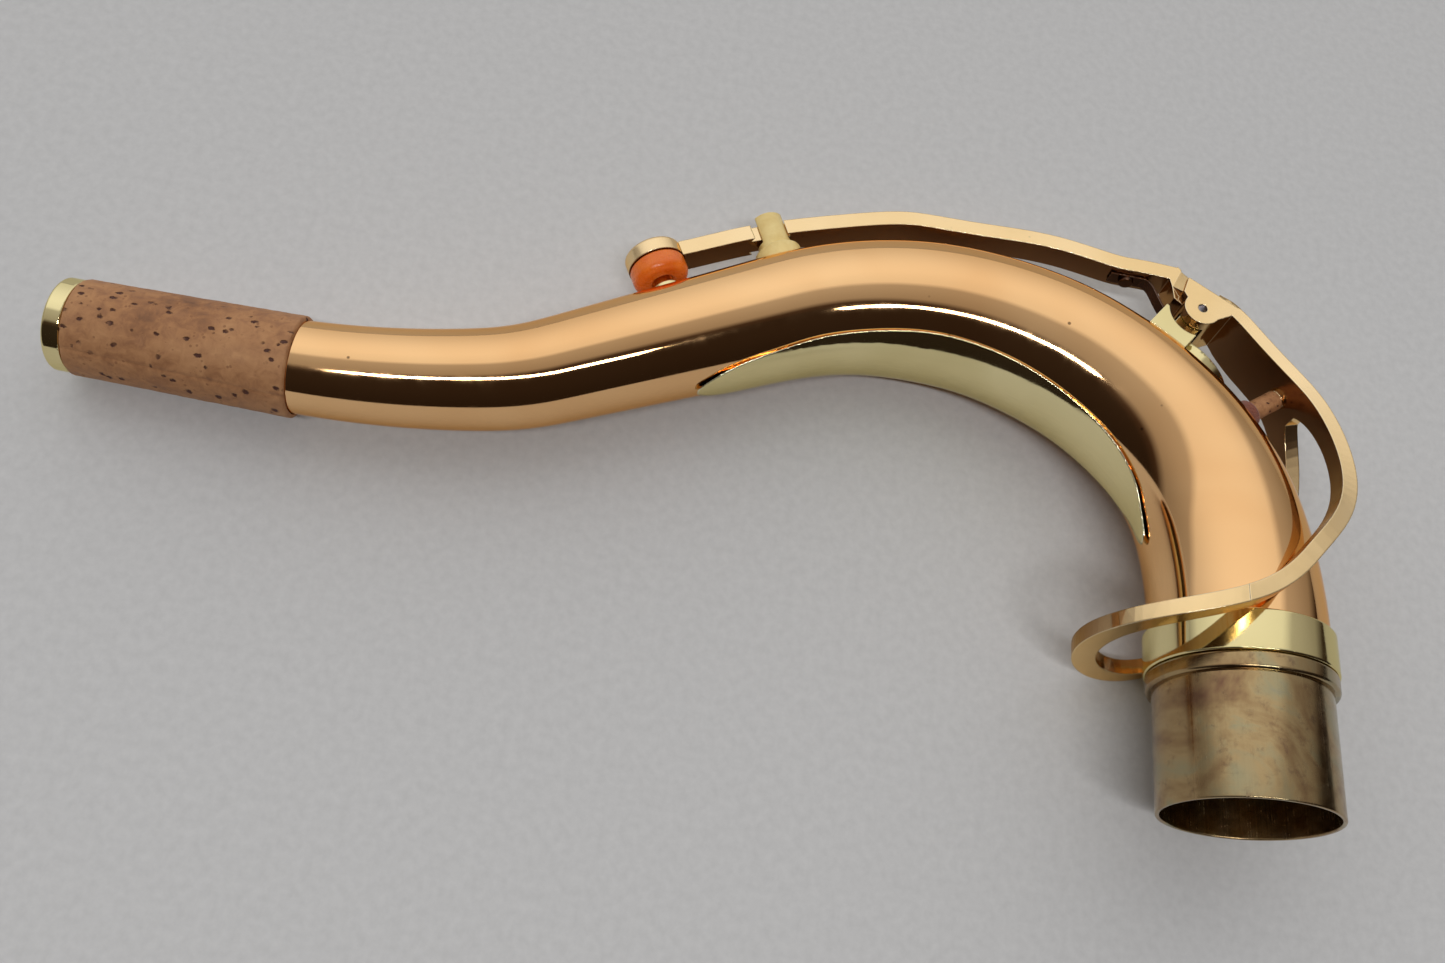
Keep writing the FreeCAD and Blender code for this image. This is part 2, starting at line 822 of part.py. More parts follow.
trough_right = cylinder(
    "trough_right", "trough_r", "saddle_half_width + overrun - lug_half",
    hinge_frame * Placement(Vector(0, trough_height, trough_back), Rotation()),
)
troughs = join("troughs", [trough_left, trough_right])
trough_block = cut("trough_block", saddle_block, troughs)
lug_web = box(
    "lug_web", "2 * lug_r", "hinge_height", "2 * lug_half",
    hinge_frame * Placement(Vector(-size("lug_r"), 0, -size("lug_half")), Rotation()),
)
lug_head = cylinder(
    "lug_head", "lug_r", "2 * lug_half",
    pin_place * Placement(Vector(0, 0, -size("lug_half")), Rotation()),
)
saddle_solid = join("saddle_solid", [trough_block, lug_web, lug_head])
lug_bore = cylinder(
    "lug_bore", "pin_r + solder_gap", "2 * (lug_half + overrun)",
    pin_place * Placement(Vector(0, 0, -size("lug_half") - overrun), Rotation()),
)
window_corner = Vector(
    -size("lug_r") - size("lug_gap"),
    size("spring_window_low"),
    -size("spring_window_half"),
)
spring_window = box(
    "spring_window", "2 * (lug_r + lug_gap)", "spring_window_high - spring_window_low",
    "2 * spring_window_half",
    hinge_frame * Placement(window_corner, Rotation()),
)
saddle_waste = join("saddle_waste", [lug_bore, spring_window])
saddle_open = cut("saddle_open", saddle_solid, saddle_waste)
hinge_saddle = cut("hinge_saddle", saddle_open, tube_seat)

# Leaf-shaped foot in front of the saddle.
foot_skin = tube_loft(
    "foot_skin",
    hinge_station - size("saddle_foot_length") - 2 * overrun,
    hinge_station + overrun,
    "solder_gap + saddle_foot_thickness",
)
leaf_start = size("saddle_front + solder_gap")
leaf_places = [
    Vector(leaf_start + size("saddle_foot_length") * x, size("saddle_foot_half") * y, 0)
    for x, y in LEAF_SHARES
]
leaf_mirror = [Vector(place.x, -place.y, 0) for place in leaf_places]
leaf_prism = prism(
    "leaf_prism",
    [smooth(leaf_places), smooth(leaf_mirror), Part.LineSegment(leaf_mirror[0], leaf_places[0])],
    "hinge_height",
)
leaf_prism.Placement = hinge_frame * Placement(Vector(0, 0, 0), Rotation(Vector(1, 0, 0), 90))
foot_leaf = meet("foot_leaf", [foot_skin, leaf_prism])
saddle_foot = cut("saddle_foot", foot_leaf, tube_seat)

# Pivot pin, flush in the ears.
pin_half = size("ear_half_width - pin_sink")
pivot_screw = cylinder(
    "pivot_screw", "pin_r", "2 * (ear_half_width - pin_sink)",
    pin_place * Placement(Vector(0, 0, -pin_half), Rotation()),
)


def lobe(name, left_corners, right_corners, half_width):
    """Plate round the pin: a round lobe below and straight edges up to the key."""
    radius = size("ear_r")
    down = [Vector(x * radius, y * radius, 0) for x, y in left_corners]
    up = [Vector(x * radius, y * radius, 0) for x, y in right_corners]
    left = math.radians(EAR_LEFT_TURN)
    right = math.radians(EAR_RIGHT_TURN)
    start = Vector(math.cos(left), math.sin(left), 0) * radius
    finish = Vector(math.cos(right), math.sin(right), 0) * radius
    arc = Part.Arc(start, Vector(0, -radius, 0), finish)
    edges = chain(down + [start]) + [arc] + chain([finish] + up + [down[0]])
    plate = prism(name, edges, half_width)
    plate.Placement = pin_place
    return plate


def faired(points):
    """Evenly spaced points of a smooth curve that runs near some points."""
    curve = Part.BSplineCurve()
    curve.approximate(Points=points, DegMin=3, DegMax=5, Tolerance=size("fairing"), Continuity="C2")
    return curve.toShape().discretize(Number=2 * len(points))


def thick_rows(edge, thickness, grow):
    """Four-cornered sections of a plate whose face has this edge, a little thicker each way."""
    spots = faired(edge)
    path = [flat(spot, 0) for spot in spots]
    outside = under(path, [-grow] * len(path))
    inside = under(path, [size(thickness) + grow] * len(path))
    rows = []
    for a, b, spot in zip(outside, inside, spots):
        rows.append((flat(a, spot.z), flat(a, -spot.z), flat(b, -spot.z), flat(b, spot.z)))
    return rows


# Octave key: lever, flares, ears round the lug, fork, two arms and the loop round the neck.
ears = lobe("ears", EAR_LEFT_SHARES, EAR_RIGHT_SHARES, "ear_half_width")
core = lobe("core", CORE_LEFT_SHARES, CORE_RIGHT_SHARES, "lever_half_width")
flare_rows = []
flare_halves = (size("lever_half_width - flare_sink"), size("ear_half_width - flare_sink"))
for corners, flare_half in zip(FLARE_SHARES, flare_halves):
    a, b = [pin_place.multVec(Vector(x, y, 0) * size("ear_r")) for x, y in corners]
    flare_rows.append(
        (flat(a, flare_half), flat(a, -flare_half), flat(b, -flare_half), flat(b, flare_half))
    )
flare = band("flare", flare_rows)
reach = size("fork_reach")
loop_r = size("loop_r")
plate_edge = []
window_edge = []
for station_share, reach_share, outer_share, inner_share in PLATE_SHARES:
    spot = beside_tube(hinge_station * station_share, reach * reach_share)
    plate_edge.append(flat(spot, loop_r * outer_share))
    if inner_share > 0:
        window_edge.append(flat(spot, loop_r * inner_share))
for across_share, rise_share, half_share in LOOP_SHARES:
    across = -size("loop_centre") - loop_r * across_share
    height = size("loop_low") + size("loop_rise") * rise_share
    plate_edge.append(Vector(across, height, loop_r * half_share))
plate_rows = thick_rows(plate_edge, "plate_thickness", 0.0)
key_plate = band("key_plate", plate_rows)

# The loop's round end, and the window between the arms and inside the loop.
upright = Rotation(Vector(1, 0, 0), -90)
loop_spot = Vector(-size("loop_centre"), size("loop_low") - overrun, 0)
loop_rim = cylinder("loop_rim", "loop_r", "loop_rise + 4 * overrun", Placement(loop_spot, upright))
end_corner = loop_spot + Vector(-2 * loop_r, -overrun, -2 * loop_r)
end_box = box(
    "end_box", "2 * loop_r", "loop_rise + 6 * overrun", "4 * loop_r",
    Placement(end_corner, Rotation()),
)
end_waste = cut("end_waste", end_box, loop_rim)
window_round = cylinder(
    "window_round", "loop_r - loop_width", "loop_rise + 4 * overrun",
    Placement(loop_spot, upright),
)
window_bar = band("window_bar", thick_rows(window_edge, "plate_thickness", overrun))
key_window = join("key_window", [window_bar, window_round])
yoke_round = cut("yoke_round", key_plate, end_waste)
yoke = cut("yoke", yoke_round, key_window)
key_solid = join("key_solid", [lever_bar, ears, core, flare, yoke])

# Room in the key for the lug, the pin, the guide and the pad cup.
lug_room_r = "lug_r + lug_gap"
lug_room_half = "lug_half + lug_side_gap"
room_head = cylinder(
    "room_head", lug_room_r, "2 * (" + lug_room_half + ")",
    pin_place * Placement(Vector(0, 0, -size(lug_room_half)), Rotation()),
)
room_corner = Vector(-size(lug_room_r), -size("hinge_height"), -size(lug_room_half))
room_box = box(
    "room_box", "2 * (" + lug_room_r + ")", "hinge_height", "2 * (" + lug_room_half + ")",
    pin_place * Placement(room_corner, Rotation()),
)
ear_bore = cylinder(
    "ear_bore", "pin_r + pin_clearance", "2 * (ear_half_width + overrun)",
    pin_place * Placement(Vector(0, 0, -size("ear_half_width") - overrun), Rotation()),
)
cup_room = cylinder(
    "cup_room", "cup_r + solder_gap", "2 * hinge_height",
    pad_frame * Placement(Vector(0, 0, 0), facing_out),
)
key_waste = join("key_waste", [room_head, room_box, ear_bore, cup_room, neck_waste])
octave_key = cut("octave_key", key_solid, key_waste)

# Bumper under the fork: boss, cork and a wider felt just off the tube.
bumper_frame = on_tube(size("bumper_station"))
bumper_felt = turned(
    "bumper_felt",
    (
        ("0", "bumper_gap"),
        ("felt_r", "bumper_gap"),
        ("felt_r", "bumper_gap + felt_height"),
        ("0", "bumper_gap + felt_height"),
    ),
    (
        ("felt_r", "bumper_gap", "felt_round"),
        ("felt_r", "bumper_gap + felt_height", "felt_round"),
    ),
    bumper_frame,
)
cork_low = size("bumper_gap + felt_height")
bumper_cork = cylinder(
    "bumper_cork", "bumper_cork_r", "bumper_cork_height",
    bumper_frame * Placement(Vector(0, cork_low, 0), facing_out),
)
boss_low = size("bumper_gap + felt_height + bumper_cork_height")
boss_blank = cylinder(
    "boss_blank", "boss_r", "boss_height",
    bumper_frame * Placement(Vector(0, boss_low, 0), facing_out),
)
bumper_boss = cut("bumper_boss", boss_blank, key_plate)

# Flat spring: held flat under the lever, then bent down past the lug to the saddle's foot.
screw_station = hinge_station + (size("pad_station") - hinge_station) * SPRING_SCREW_SHARE


def along_path(points, station):
    """Point of a path nearest to a station's normal, with the path's direction there."""
    place = on_tube(station)
    near = [place.inverse().multVec(point) for point in points]
    for number in range(1, len(points)):
        a = near[number - 1]
        b = near[number]
        if min(a.x, b.x) <= 0 <= max(a.x, b.x):
            share = (0 - a.x) / (b.x - a.x)
            spot = points[number - 1] + (points[number] - points[number - 1]) * share
            return spot, (points[number] - points[number - 1]).normalize()
    return points[-1], (points[-1] - points[-2]).normalize()


screw_spot, screw_way = along_path(lever_low, screw_station)
screw_down = Vector(screw_way.y, -screw_way.x, 0)
land = size("spring_land")
gap = size("spring_seat_gap")
spring_top = [
    screw_spot - screw_way * (land / 2) + screw_down * gap,
    screw_spot + screw_down * gap,
    screw_spot + screw_way * (land / 2) + screw_down * gap,
]
end_station = hinge_station * SPRING_END_SHARE
end_height = size("solder_gap + saddle_foot_thickness + spring_gap + spring_thickness")
spring_end = beside_tube(end_station, along_tube(end_station)[2] + end_height)
bend = spring_top[-1]
way_down = spring_end - bend
for ahead_share, down_share in SPRING_SHARES:
    spring_top.append(bend + screw_way * (way_down.dot(screw_way) * ahead_share)
                      + screw_down * (way_down.dot(screw_down) * down_share))
spring_top.append(spring_end)
spring_low = under(spring_top, [size("spring_thickness")] * len(spring_top))
flat_spring = prism(
    "flat_spring",
    [
        Part.LineSegment(spring_top[0], spring_top[2]),
        smooth(spring_top[2:]),
        Part.LineSegment(spring_top[-1], spring_low[-1]),
        smooth(spring_low[:1:-1]),
        Part.LineSegment(spring_low[2], spring_low[0]),
        Part.LineSegment(spring_low[0], spring_top[0]),
    ],
    "spring_half_width",
)
screw_turn = math.degrees(math.atan2(screw_down.y, screw_down.x)) - 90.0
screw_seat = screw_spot + screw_down * size("spring_seat_gap + spring_thickness + solder_gap")
spring_screw = turned(
    "spring_screw",
    (
        ("0", "0"),
        ("spring_screw_r", "0"),
        ("spring_screw_r", "spring_screw_height"),
        ("0", "spring_screw_height"),
    ),
    (("spring_screw_r", "spring_screw_height", "spring_screw_round"),),
    Placement(screw_seat, Rotation(Vector(0, 0, 1), screw_turn)),
)

doc.recompute()

PIECES = {
    "neck_tube": neck_tube,
    "tenon": tenon,
    "shoulder_bead": shoulder_bead,
    "collar_ring": collar_ring,
    "tip_ring": tip_ring,
    "neck_cork": neck_cork,
    "underside_brace": underside_brace,
    "vent_pip": vent_pip,
    "guide_foot": guide_foot,
    "guide_post": guide_post,
    "hinge_saddle": hinge_saddle,
    "saddle_foot": saddle_foot,
    "pivot_screw": pivot_screw,
    "octave_key": octave_key,
    "pad_cup": pad_cup,
    "octave_pad": octave_pad,
    "flat_spring": flat_spring,
    "spring_screw": spring_screw,
    "bumper_boss": bumper_boss,
    "bumper_cork": bumper_cork,
    "bumper_felt": bumper_felt,
}

# Lay the neck down: tilt it, then put the bottom centre of its box at the origin.
tilt = Rotation(Vector(1, 0, 0), size("rest_tilt_x")) * Rotation(Vector(0, 1, 0), size("rest_tilt_y"))
laid = Part.makeCompound([piece.Shape for piece in PIECES.values()])
laid.Placement = Placement(Vector(0, 0, 0), tilt) * laid.Placement
reach_box = laid.optimalBoundingBox(False)
middle = Vector(
    (reach_box.XMin + reach_box.XMax) / 2,
    (reach_box.YMin + reach_box.YMax) / 2,
    reach_box.ZMin,
)
lay = Placement(-middle, tilt)
for name, piece in PIECES.items():
    piece.Label = name
    piece.Placement = lay * piece.Placement
doc.recompute()

for thing in doc.Objects:
    if "Invalid" in thing.State or "Error" in thing.State:
        raise RuntimeError("%s did not build" % thing.Name)
for name, piece in PIECES.items():
    if piece.Shape.isNull() or not piece.Shape.isValid():
        raise RuntimeError("%s has no sound shape" % name)

os.makedirs("parts", exist_ok=True)
for name, piece in PIECES.items():
    piece.Shape.exportStep("parts/%s.step" % name)
    solids = len(piece.Shape.Solids)
    print("%-16s solids %d volume %.1f" % (name, solids, piece.Shape.Volume))


def tell(label, place):
    """Print a place and an axis of the laid neck."""
    spot = (lay * place).Base
    axis = (lay * place).Rotation.multVec(Vector(0, 1, 0))
    flat_axis = (lay * place).Rotation.multVec(Vector(0, 0, 1))
    print(label, [round(v, 4) for v in spot], "Y", [round(v, 6) for v in axis],
          "Z", [round(v, 6) for v in flat_axis])


tell("pin", pin_place)
tell("tenon", Placement())
tell("tip", tip_frame)
tell("pad", pad_frame)
tell("bumper", bumper_frame)
tell("loop", Placement(Vector(-size("loop_centre") - loop_r, size("loop_low"), 0), Rotation()))
print("box", [round(v, 3) for v in (reach_box.XLength, reach_box.YLength, reach_box.ZLength)])
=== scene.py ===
"""Tenor saxophone neck with its octave key: looks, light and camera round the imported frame."""

import json
import math

import bmesh
import bpy
from mathutils import Matrix, Vector, noise


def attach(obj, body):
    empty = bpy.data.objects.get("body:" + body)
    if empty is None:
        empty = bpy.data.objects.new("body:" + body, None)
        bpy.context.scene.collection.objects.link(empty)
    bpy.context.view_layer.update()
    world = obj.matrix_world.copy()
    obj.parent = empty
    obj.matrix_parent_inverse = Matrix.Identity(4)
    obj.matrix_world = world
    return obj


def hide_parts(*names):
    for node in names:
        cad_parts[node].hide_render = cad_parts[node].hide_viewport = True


MM = 0.001

# Photograph: its width in pixels, the camera's focal length in them, and the camera in the
# neck's own frame in millimetres, whose Y runs up the tenon and whose Z stands off the neck's
# plane. The near limit of its view is in metres.
PHOTO_WIDTH = 1445
FOCAL_PIXELS = 1240
SENSOR_WIDTH = 36.0
CAMERA_PLACE = (-97.2, -50.3, 184.0)
CAMERA_RIGHT = (0.98569, 0.12439, 0.11377)
CAMERA_UP = (-0.16222, 0.88344, 0.43956)
CLIP_START = 0.01

# Tenon and neck tube in millimetres. A stretch has a run or a bend radius, a turn in degrees, the
# side that it turns to (0 for a straight run) and the outside radius at its end.
TENON_MOUNT_HEIGHT = 9.9
TENON_R = 13.75
TENON_WALL = 0.7
TENON_LENGTH = 19.6
TENON_EDGE = 0.25
BEAD_HEIGHT = 2.9
BEAD_SINK = 0.25
SPIGOT_LENGTH = 5.0
FOOT_R = 14.1
TUBE_WALL = 0.6
SOLDER_GAP = 0.05
STRETCHES = (
    (31.3, 0.0, 0, 14.1),
    (81.9, 11.5, 1, 13.84),
    (39.5, 32.7, 1, 13.52),
    (54.2, 25.0, 1, 13.21),
    (62.1, 23.85, 1, 12.42),
    (62.1, 23.85, 1, 11.0),
    (42.0, 0.0, 0, 9.1),
    (43.3, 14.2, -1, 8.73),
    (147.0, 13.9, -1, 7.75),
    (34.8, 0.0, 0, 6.87),
)
TUBE_RINGS = 300
TUBE_SIDES = 144
TUBE_BLEND = 5.0
BLEND_SPANS = 8
TUBE_LIP = 0.22
LIP_STEPS = 6
TENON_SIDES = 192
CORNER_STEPS = 4
START_HEADING = 90.0

# Cork sleeve in millimetres and degrees, from the ring at the tube's end. The noise has its
# roughness, the step between its layers and their number.
TIP_RING_LENGTH = 3.0
CORK_LENGTH = 36.4
CORK_TIP_R = 8.11
CORK_FOOT_R = 8.69
CORK_ROUND = 0.45
CORK_SKIN = 0.14
CORK_SIDES = 220
CORK_RINGS = 150
CORK_SEAM_TURN = 62.0
CORK_SEAM_LEAN = 9.0
CORK_SEAM_WIDTH = 0.28
CORK_SEAM_DEPTH = 0.16
CORK_NOISE_SCALE = 0.45
CORK_NOISE = (0.9, 2.1, 3)

# Refined pieces in millimetres and degrees: weld distance, how level and how wide a region is that
# counts as flat, the angles past which edges are sharp, and the weight that large faces have in
# the shading.
WELD = 0.002
FLAT_DOT = 0.99998
FLAT_WIDTH = 1.3
TINY = 1e-9
SHARP_ANGLE = 32.0
KEY_SHARP_ANGLE = 18.0
TURNED_SHARP_ANGLE = 40.0
CORK_SHARP_ANGLE = 50.0
FACE_WEIGHT = 80

# Middle of the bow in the neck's own frame, in millimetres. The faces of the key that look at it get painted
# shade: a darker brown in their colour that stands in for the shade and dark reflections under the key.
BOW_MIDDLE = (-60.0, 60.0, 0.0)

# Materials: lengths are in millimetres and texture scales per metre. A pair is a range, or the
# strength and depth of a relief.
BEVEL_SAMPLES = 6
EDGE_RANGE = (0.80, 0.995)
# Facing range over which the key's painted shade comes in, and its strongest share.
PAINTED_SHADE_RANGE = (-0.75, -0.35)
PAINTED_SHADE_MOST = 0.88
COAT_ROUGHNESS = 0.04
DRIFT_SCALE = 34.0
DRIFT_RANGE = (0.32, 0.68)
SPECK_SCALE = 190.0
SPECK_SIZE = (0.035, 0.075)
SPECK_RARE_SCALE = 95.0
SPECK_RARE = (0.53, 0.6)
SPECK_DARKNESS = 0.32
SMUDGE_SCALE = 260.0
FILM_SCALE = 45.0
FILM_RANGE = (0.14, 0.42)
SCRATCH_SCALE = (2600.0, 160.0, 900.0)
SCRATCH_TURN = (14.0, 9.0, 31.0)
SCRATCH_DEPTH = 0.02
WAVE_SCALE = 95.0
WAVE_DEPTH = 0.8
WAVE_SHARE = 1.6
MIDDLE_RANGE = (0.3, 0.7)

# Bare brass of the tenon.
PATCH_SCALE = 72.0
PATCHES = (
    (0.26, (0.19, 0.100, 0.060)),
    (0.40, (0.33, 0.215, 0.105)),
    (0.50, (0.42, 0.300, 0.150)),
    (0.60, (0.36, 0.305, 0.175)),
    (0.70, (0.28, 0.265, 0.200)),
    (0.82, (0.31, 0.190, 0.125)),
)
STAIN_SCALE = 420.0
STAIN_RANGE = (0.52, 0.74)
STAIN_MOST = 0.55
STAIN_COLOUR = (0.15, 0.085, 0.06)
TENON_BEVEL = 0.2
TENON_WORN = (0.80, 0.52, 0.33)
TURNING_SCALE = (3.0, 5200.0, 1.0)
LENGTHWAYS_SCALE = (260.0, 9.0, 1.0)
STAIN_GLOSS_RANGE = (0.35, 0.7)
STAIN_ROUGHNESS = (0.13, 0.25)
LENGTHWAYS_ROUGHNESS = (-0.03, 0.07)
TURNING_RELIEF = (0.10, 0.03)
LENGTHWAYS_RELIEF = (0.05, 0.06)
TENON_ANISOTROPY = 0.35

# Cork.
CORK_GRAIN_SCALE = 520.0
CORK_BROAD_SCALE = 70.0
CORK_GRAIN_SHARE = 0.55
CORK_TONES = (
    (0.30, (0.195, 0.080, 0.030)),
    (0.44, (0.34, 0.150, 0.060)),
    (0.54, (0.45, 0.215, 0.090)),
    (0.70, (0.56, 0.295, 0.135)),
)
PIT_STRETCH = (1.0, 1.7, 1.0)
PIT_TURN = (0.0, 0.0, 18.0)
PIT_SCALE = 430.0
PIT_EDGE_SCALE = 900.0
PIT_EDGE_RANGE = (0.2, 0.8)
PIT_EDGE = 0.13
PIT_SIZE = (0.15, 0.27)
PIT_RARE_SCALE = 210.0
PIT_RARE = (0.42, 0.54)
PIT_COLOUR = (0.075, 0.018, 0.008)
PIT_RELIEF = (0.9, 0.35)
CRUMB_SCALE = 900.0
CRUMB_SIZE = (0.16, 0.3)
CRUMB_RARE = (0.5, 0.6)
CRUMB_MOST = 0.6
CRUMB_COLOUR = (0.20, 0.075, 0.03)
CORK_ROUGHNESS = (0.58, 0.82)
CORK_RELIEF = (0.25, 0.12)

# Plastic, felt and floor.
PLASTIC_MOTTLE_SCALE = 240.0
PLASTIC_RANGE = (0.34, 0.66)
PLASTIC_BEVEL = 0.3
PLASTIC_SKIN_SCALE = 1900.0
PLASTIC_RELIEF = (0.12, 0.05)
FELT_STRETCH = (1.0, 2.4, 1.0)
FELT_TURN = (20.0, 0.0, 35.0)
FELT_SCALE = 1500.0
FELT_TONES = (
    (0.3, (0.10, 0.022, 0.012)),
    (0.6, (0.27, 0.075, 0.04)),
    (0.8, (0.40, 0.15, 0.09)),
)
FELT_ROUGHNESS = (0.82, 1.0)
FELT_RELIEF = (0.8, 0.2)
FELT_SHEEN = 0.35
FLOOR_GRAIN_SCALE = 600.0
FLOOR_TONES = ((0.3, (0.60, 0.60, 0.605)), (0.7, (0.66, 0.66, 0.665)))
FLOOR_ROUGHNESS = 0.9

# Light tent and floor in metres, the way to the tent's bright side, its glow against the share
# of that way, its level at the floor and overhead, and the colour that the camera sees past it.
TENT_RADIUS = 14.0
FLOOR_SIZE = 5.0
TENT_WAY = (-0.25, 0.85, 0.45)
TENT_LOW_LEVEL = 0.72
TENT_LEVEL = 1.0
TENT_GLOW = (
    (0.0, (0.030, 0.021, 0.016)),
    (0.12, (0.055, 0.036, 0.026)),
    (0.24, (0.36, 0.34, 0.32)),
    (0.56, (0.47, 0.46, 0.45)),
    (0.64, (0.90, 0.90, 0.89)),
    (0.85, (1.0, 1.0, 0.99)),
)
TENT_TOP_SHARE = 0.85
TENT_AROUND = 96
TENT_UPWARD = 48
TENT_CUT = -0.001
BACKDROP = (0.47, 0.465, 0.46)

# Strip lamp over the near side, in metres, and the level of its face.
STRIP_PLACE = (0.0, -0.66, 1.45)
STRIP_LENGTH = 1.1
STRIP_WIDTH = 0.10
STRIP_LEVEL = 24.0

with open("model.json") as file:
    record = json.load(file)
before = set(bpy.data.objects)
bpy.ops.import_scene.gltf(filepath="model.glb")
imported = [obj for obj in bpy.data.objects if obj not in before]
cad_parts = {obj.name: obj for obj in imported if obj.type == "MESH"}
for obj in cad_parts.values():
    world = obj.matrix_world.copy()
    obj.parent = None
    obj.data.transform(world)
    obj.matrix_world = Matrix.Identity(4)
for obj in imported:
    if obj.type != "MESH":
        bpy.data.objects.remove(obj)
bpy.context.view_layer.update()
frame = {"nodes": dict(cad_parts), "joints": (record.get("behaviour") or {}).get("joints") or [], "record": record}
nodes = frame["nodes"]


def neck_matrix():
    """Neck's own frame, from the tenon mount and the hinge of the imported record."""
    mount = next(m for m in frame["record"]["mounts"] if m["name"] == "tenon")
    hinge = frame["joints"][0]
    up = -Vector(mount["axis"]).normalized()
    out = -Vector(hinge["axis"]).normalized()
    across = up.cross(out)
    start = Vector(mount["pos_m"]) - up * (TENON_MOUNT_HEIGHT * MM)
    matrix = Matrix((across, up, out)).transposed().to_4x4()
    matrix.translation = start
    return matrix


NECK = neck_matrix()


def lay_out():
    """Stretches of the tube with their first station, start, heading and length."""
    point = Vector((0.0, 0.0))
    heading = START_HEADING
    station = 0.0
    radius = FOOT_R
    rows = []
    for reach, turn, side, end_radius in STRETCHES:
        length = reach * math.radians(turn) if side else reach
        rows.append((station, point, heading, length, radius, end_radius, reach, side))
        point, heading = step_along(point, heading, reach, side, length)
        station += length
        radius = end_radius
    return rows, station


def step_along(point, heading, reach, side, along):
    """Point and heading some way along a stretch."""
    turned = math.degrees(along / reach) * side if side else 0.0
    way = math.radians(heading + turned / 2)
    chord = 2 * reach * math.sin(math.radians(abs(turned)) / 2) if side else along
    return point + Vector((math.cos(way), math.sin(way))) * chord, heading + turned


LAYOUT, TUBE_END = lay_out()


def raw_station(station):
    """Centre, direction and outside radius of the tube as the frame has it."""
    row = LAYOUT[0]
    for candidate in LAYOUT:
        if station >= candidate[0]:
            row = candidate
    first, start, heading, length, radius_a, radius_b, reach, side = row
    point, turned = step_along(start, heading, reach, side, station - first)
    way = math.radians(turned)
    radius = radius_a + (radius_b - radius_a) * (station - first) / length
    return point, Vector((math.cos(way), math.sin(way))), radius


def tube_station(station, low, high):
    """The same, with the joins between stretches eased over a few millimetres."""
    window = min(TUBE_BLEND, station - low, high - station)
    centre = Vector((0.0, 0.0))
    ahead = Vector((0.0, 0.0))
    radius = 0.0
    weights = 0.0
    for number in range(-BLEND_SPANS, BLEND_SPANS + 1):
        weight = 1.0 + math.cos(math.pi * number / (BLEND_SPANS + 1))
        point, way, r = raw_station(station + window * number / BLEND_SPANS)
        centre += point * weight
        ahead += way * weight
        radius += r * weight
        weights += weight
    return centre / weights, ahead.normalized(), radius / weights


def collection_object(name, mesh):
    """New object of a mesh, in the scene."""
    thing = bpy.data.objects.new(name, mesh)
    bpy.context.scene.collection.objects.link(thing)
    return thing


def ring_mesh(name, rings, marks):
    """Closed skin over rings of points, with a UV map of turn and mark in metres."""
    bm = bmesh.new()
    uv = bm.loops.layers.uv.new("around")
    rows = [[bm.verts.new(point) for point in ring] for ring in rings]
    sides = len(rings[0])
    for row in range(len(rings)):
        after = (row + 1) % len(rings)
        for side in range(sides):
            beside = (side + 1) % sides
            corners = (rows[row][side], rows[row][beside], rows[after][beside], rows[after][side])
            face = bm.faces.new(corners)
            face.smooth = True
            places = ((side, row), (side + 1, row), (side + 1, after), (side, after))
            for loop, (turn, mark) in zip(face.loops, places):
                loop[uv].uv = (turn / sides, marks[mark])
    bmesh.ops.recalc_face_normals(bm, faces=bm.faces)
    mesh = bpy.data.meshes.new(name)
    bm.to_mesh(mesh)
    bm.free()
    return mesh


def sharpen(mesh, degrees):
    """Smooth shading with the edges past an angle kept sharp."""
    crisp = [edge.index for edge in mesh.edges if edge.use_edge_sharp]
    for face in mesh.polygons:
        face.use_smooth = True
    mesh.set_sharp_from_angle(angle=math.radians(degrees))
    for index in crisp:
        mesh.edges[index].use_edge_sharp = True


def crisp_flats(bm):
    """Sharp edges round the flat faces, so that their shading stays even."""
    bm.normal_update()
    seen = set()
    for first in bm.faces:
        if first in seen:
            continue
        region = {first}
        front = [first]
        while front:
            face = front.pop()
            for edge in face.edges:
                for other in edge.link_faces:
                    if other not in region and other.normal.dot(first.normal) > FLAT_DOT:
                        region.add(other)
                        front.append(other)
        seen |= region
        corners = [vert.co for face in region for vert in face.verts]
        reach = max((corner - first.verts[0].co).length for corner in corners)
        area = math.fsum(face.calc_area() for face in region)
        if area / max(reach, TINY) < FLAT_WIDTH * MM:
            continue
        for face in region:
            for edge in face.edges:
                if any(other not in region for other in edge.link_faces):
                    edge.smooth = False


def lathe(name, profile, place, sides):
    """Body turned about Y of a place, from (radius, height) corners in millimetres."""
    rings = []
    marks = []
    run = 0.0
    last = profile[0]
    for radius, height in profile:
        run += math.hypot(radius - last[0], height - last[1])
        last = (radius, height)
        ring = []
        for side in range(sides):
            turn = 2 * math.pi * side / sides
            spot = Vector((math.sin(turn) * radius, height, math.cos(turn) * radius)) * MM
            ring.append(place @ spot)
        rings.append(ring)
        marks.append(run * MM)
    return ring_mesh(name, rings, marks)


def rounded(profile, amounts):
    """Profile with its corners rounded by the given amounts."""
    result = []
    count = len(profile)
    for number, (corner, amount) in enumerate(zip(profile, amounts)):
        spot = Vector(corner)
        if amount <= 0:
            result.append(tuple(spot))
            continue
        before = (Vector(profile[number - 1]) - spot).normalized()
        after = (Vector(profile[(number + 1) % count]) - spot).normalized()
        for step in range(CORNER_STEPS + 1):
            share = step / CORNER_STEPS
            a = spot + before * amount
            b = spot + after * amount
            bent = a * (1 - share) ** 2 + spot * (2 * share * (1 - share)) + b * share ** 2
            result.append(tuple(bent))
    return result


def nodes_of(material):
    """Node tree of a material, with its surface shader."""
    material.use_nodes = True
    tree = material.node_tree
    shader = next(n for n in tree.nodes if n.type == "BSDF_PRINCIPLED")
    return tree, shader


def add(tree, kind, **settings):
    """New node with its settings."""
    node = tree.nodes.new(kind)
    for key, value in settings.items():
        setattr(node, key, value)
    return node


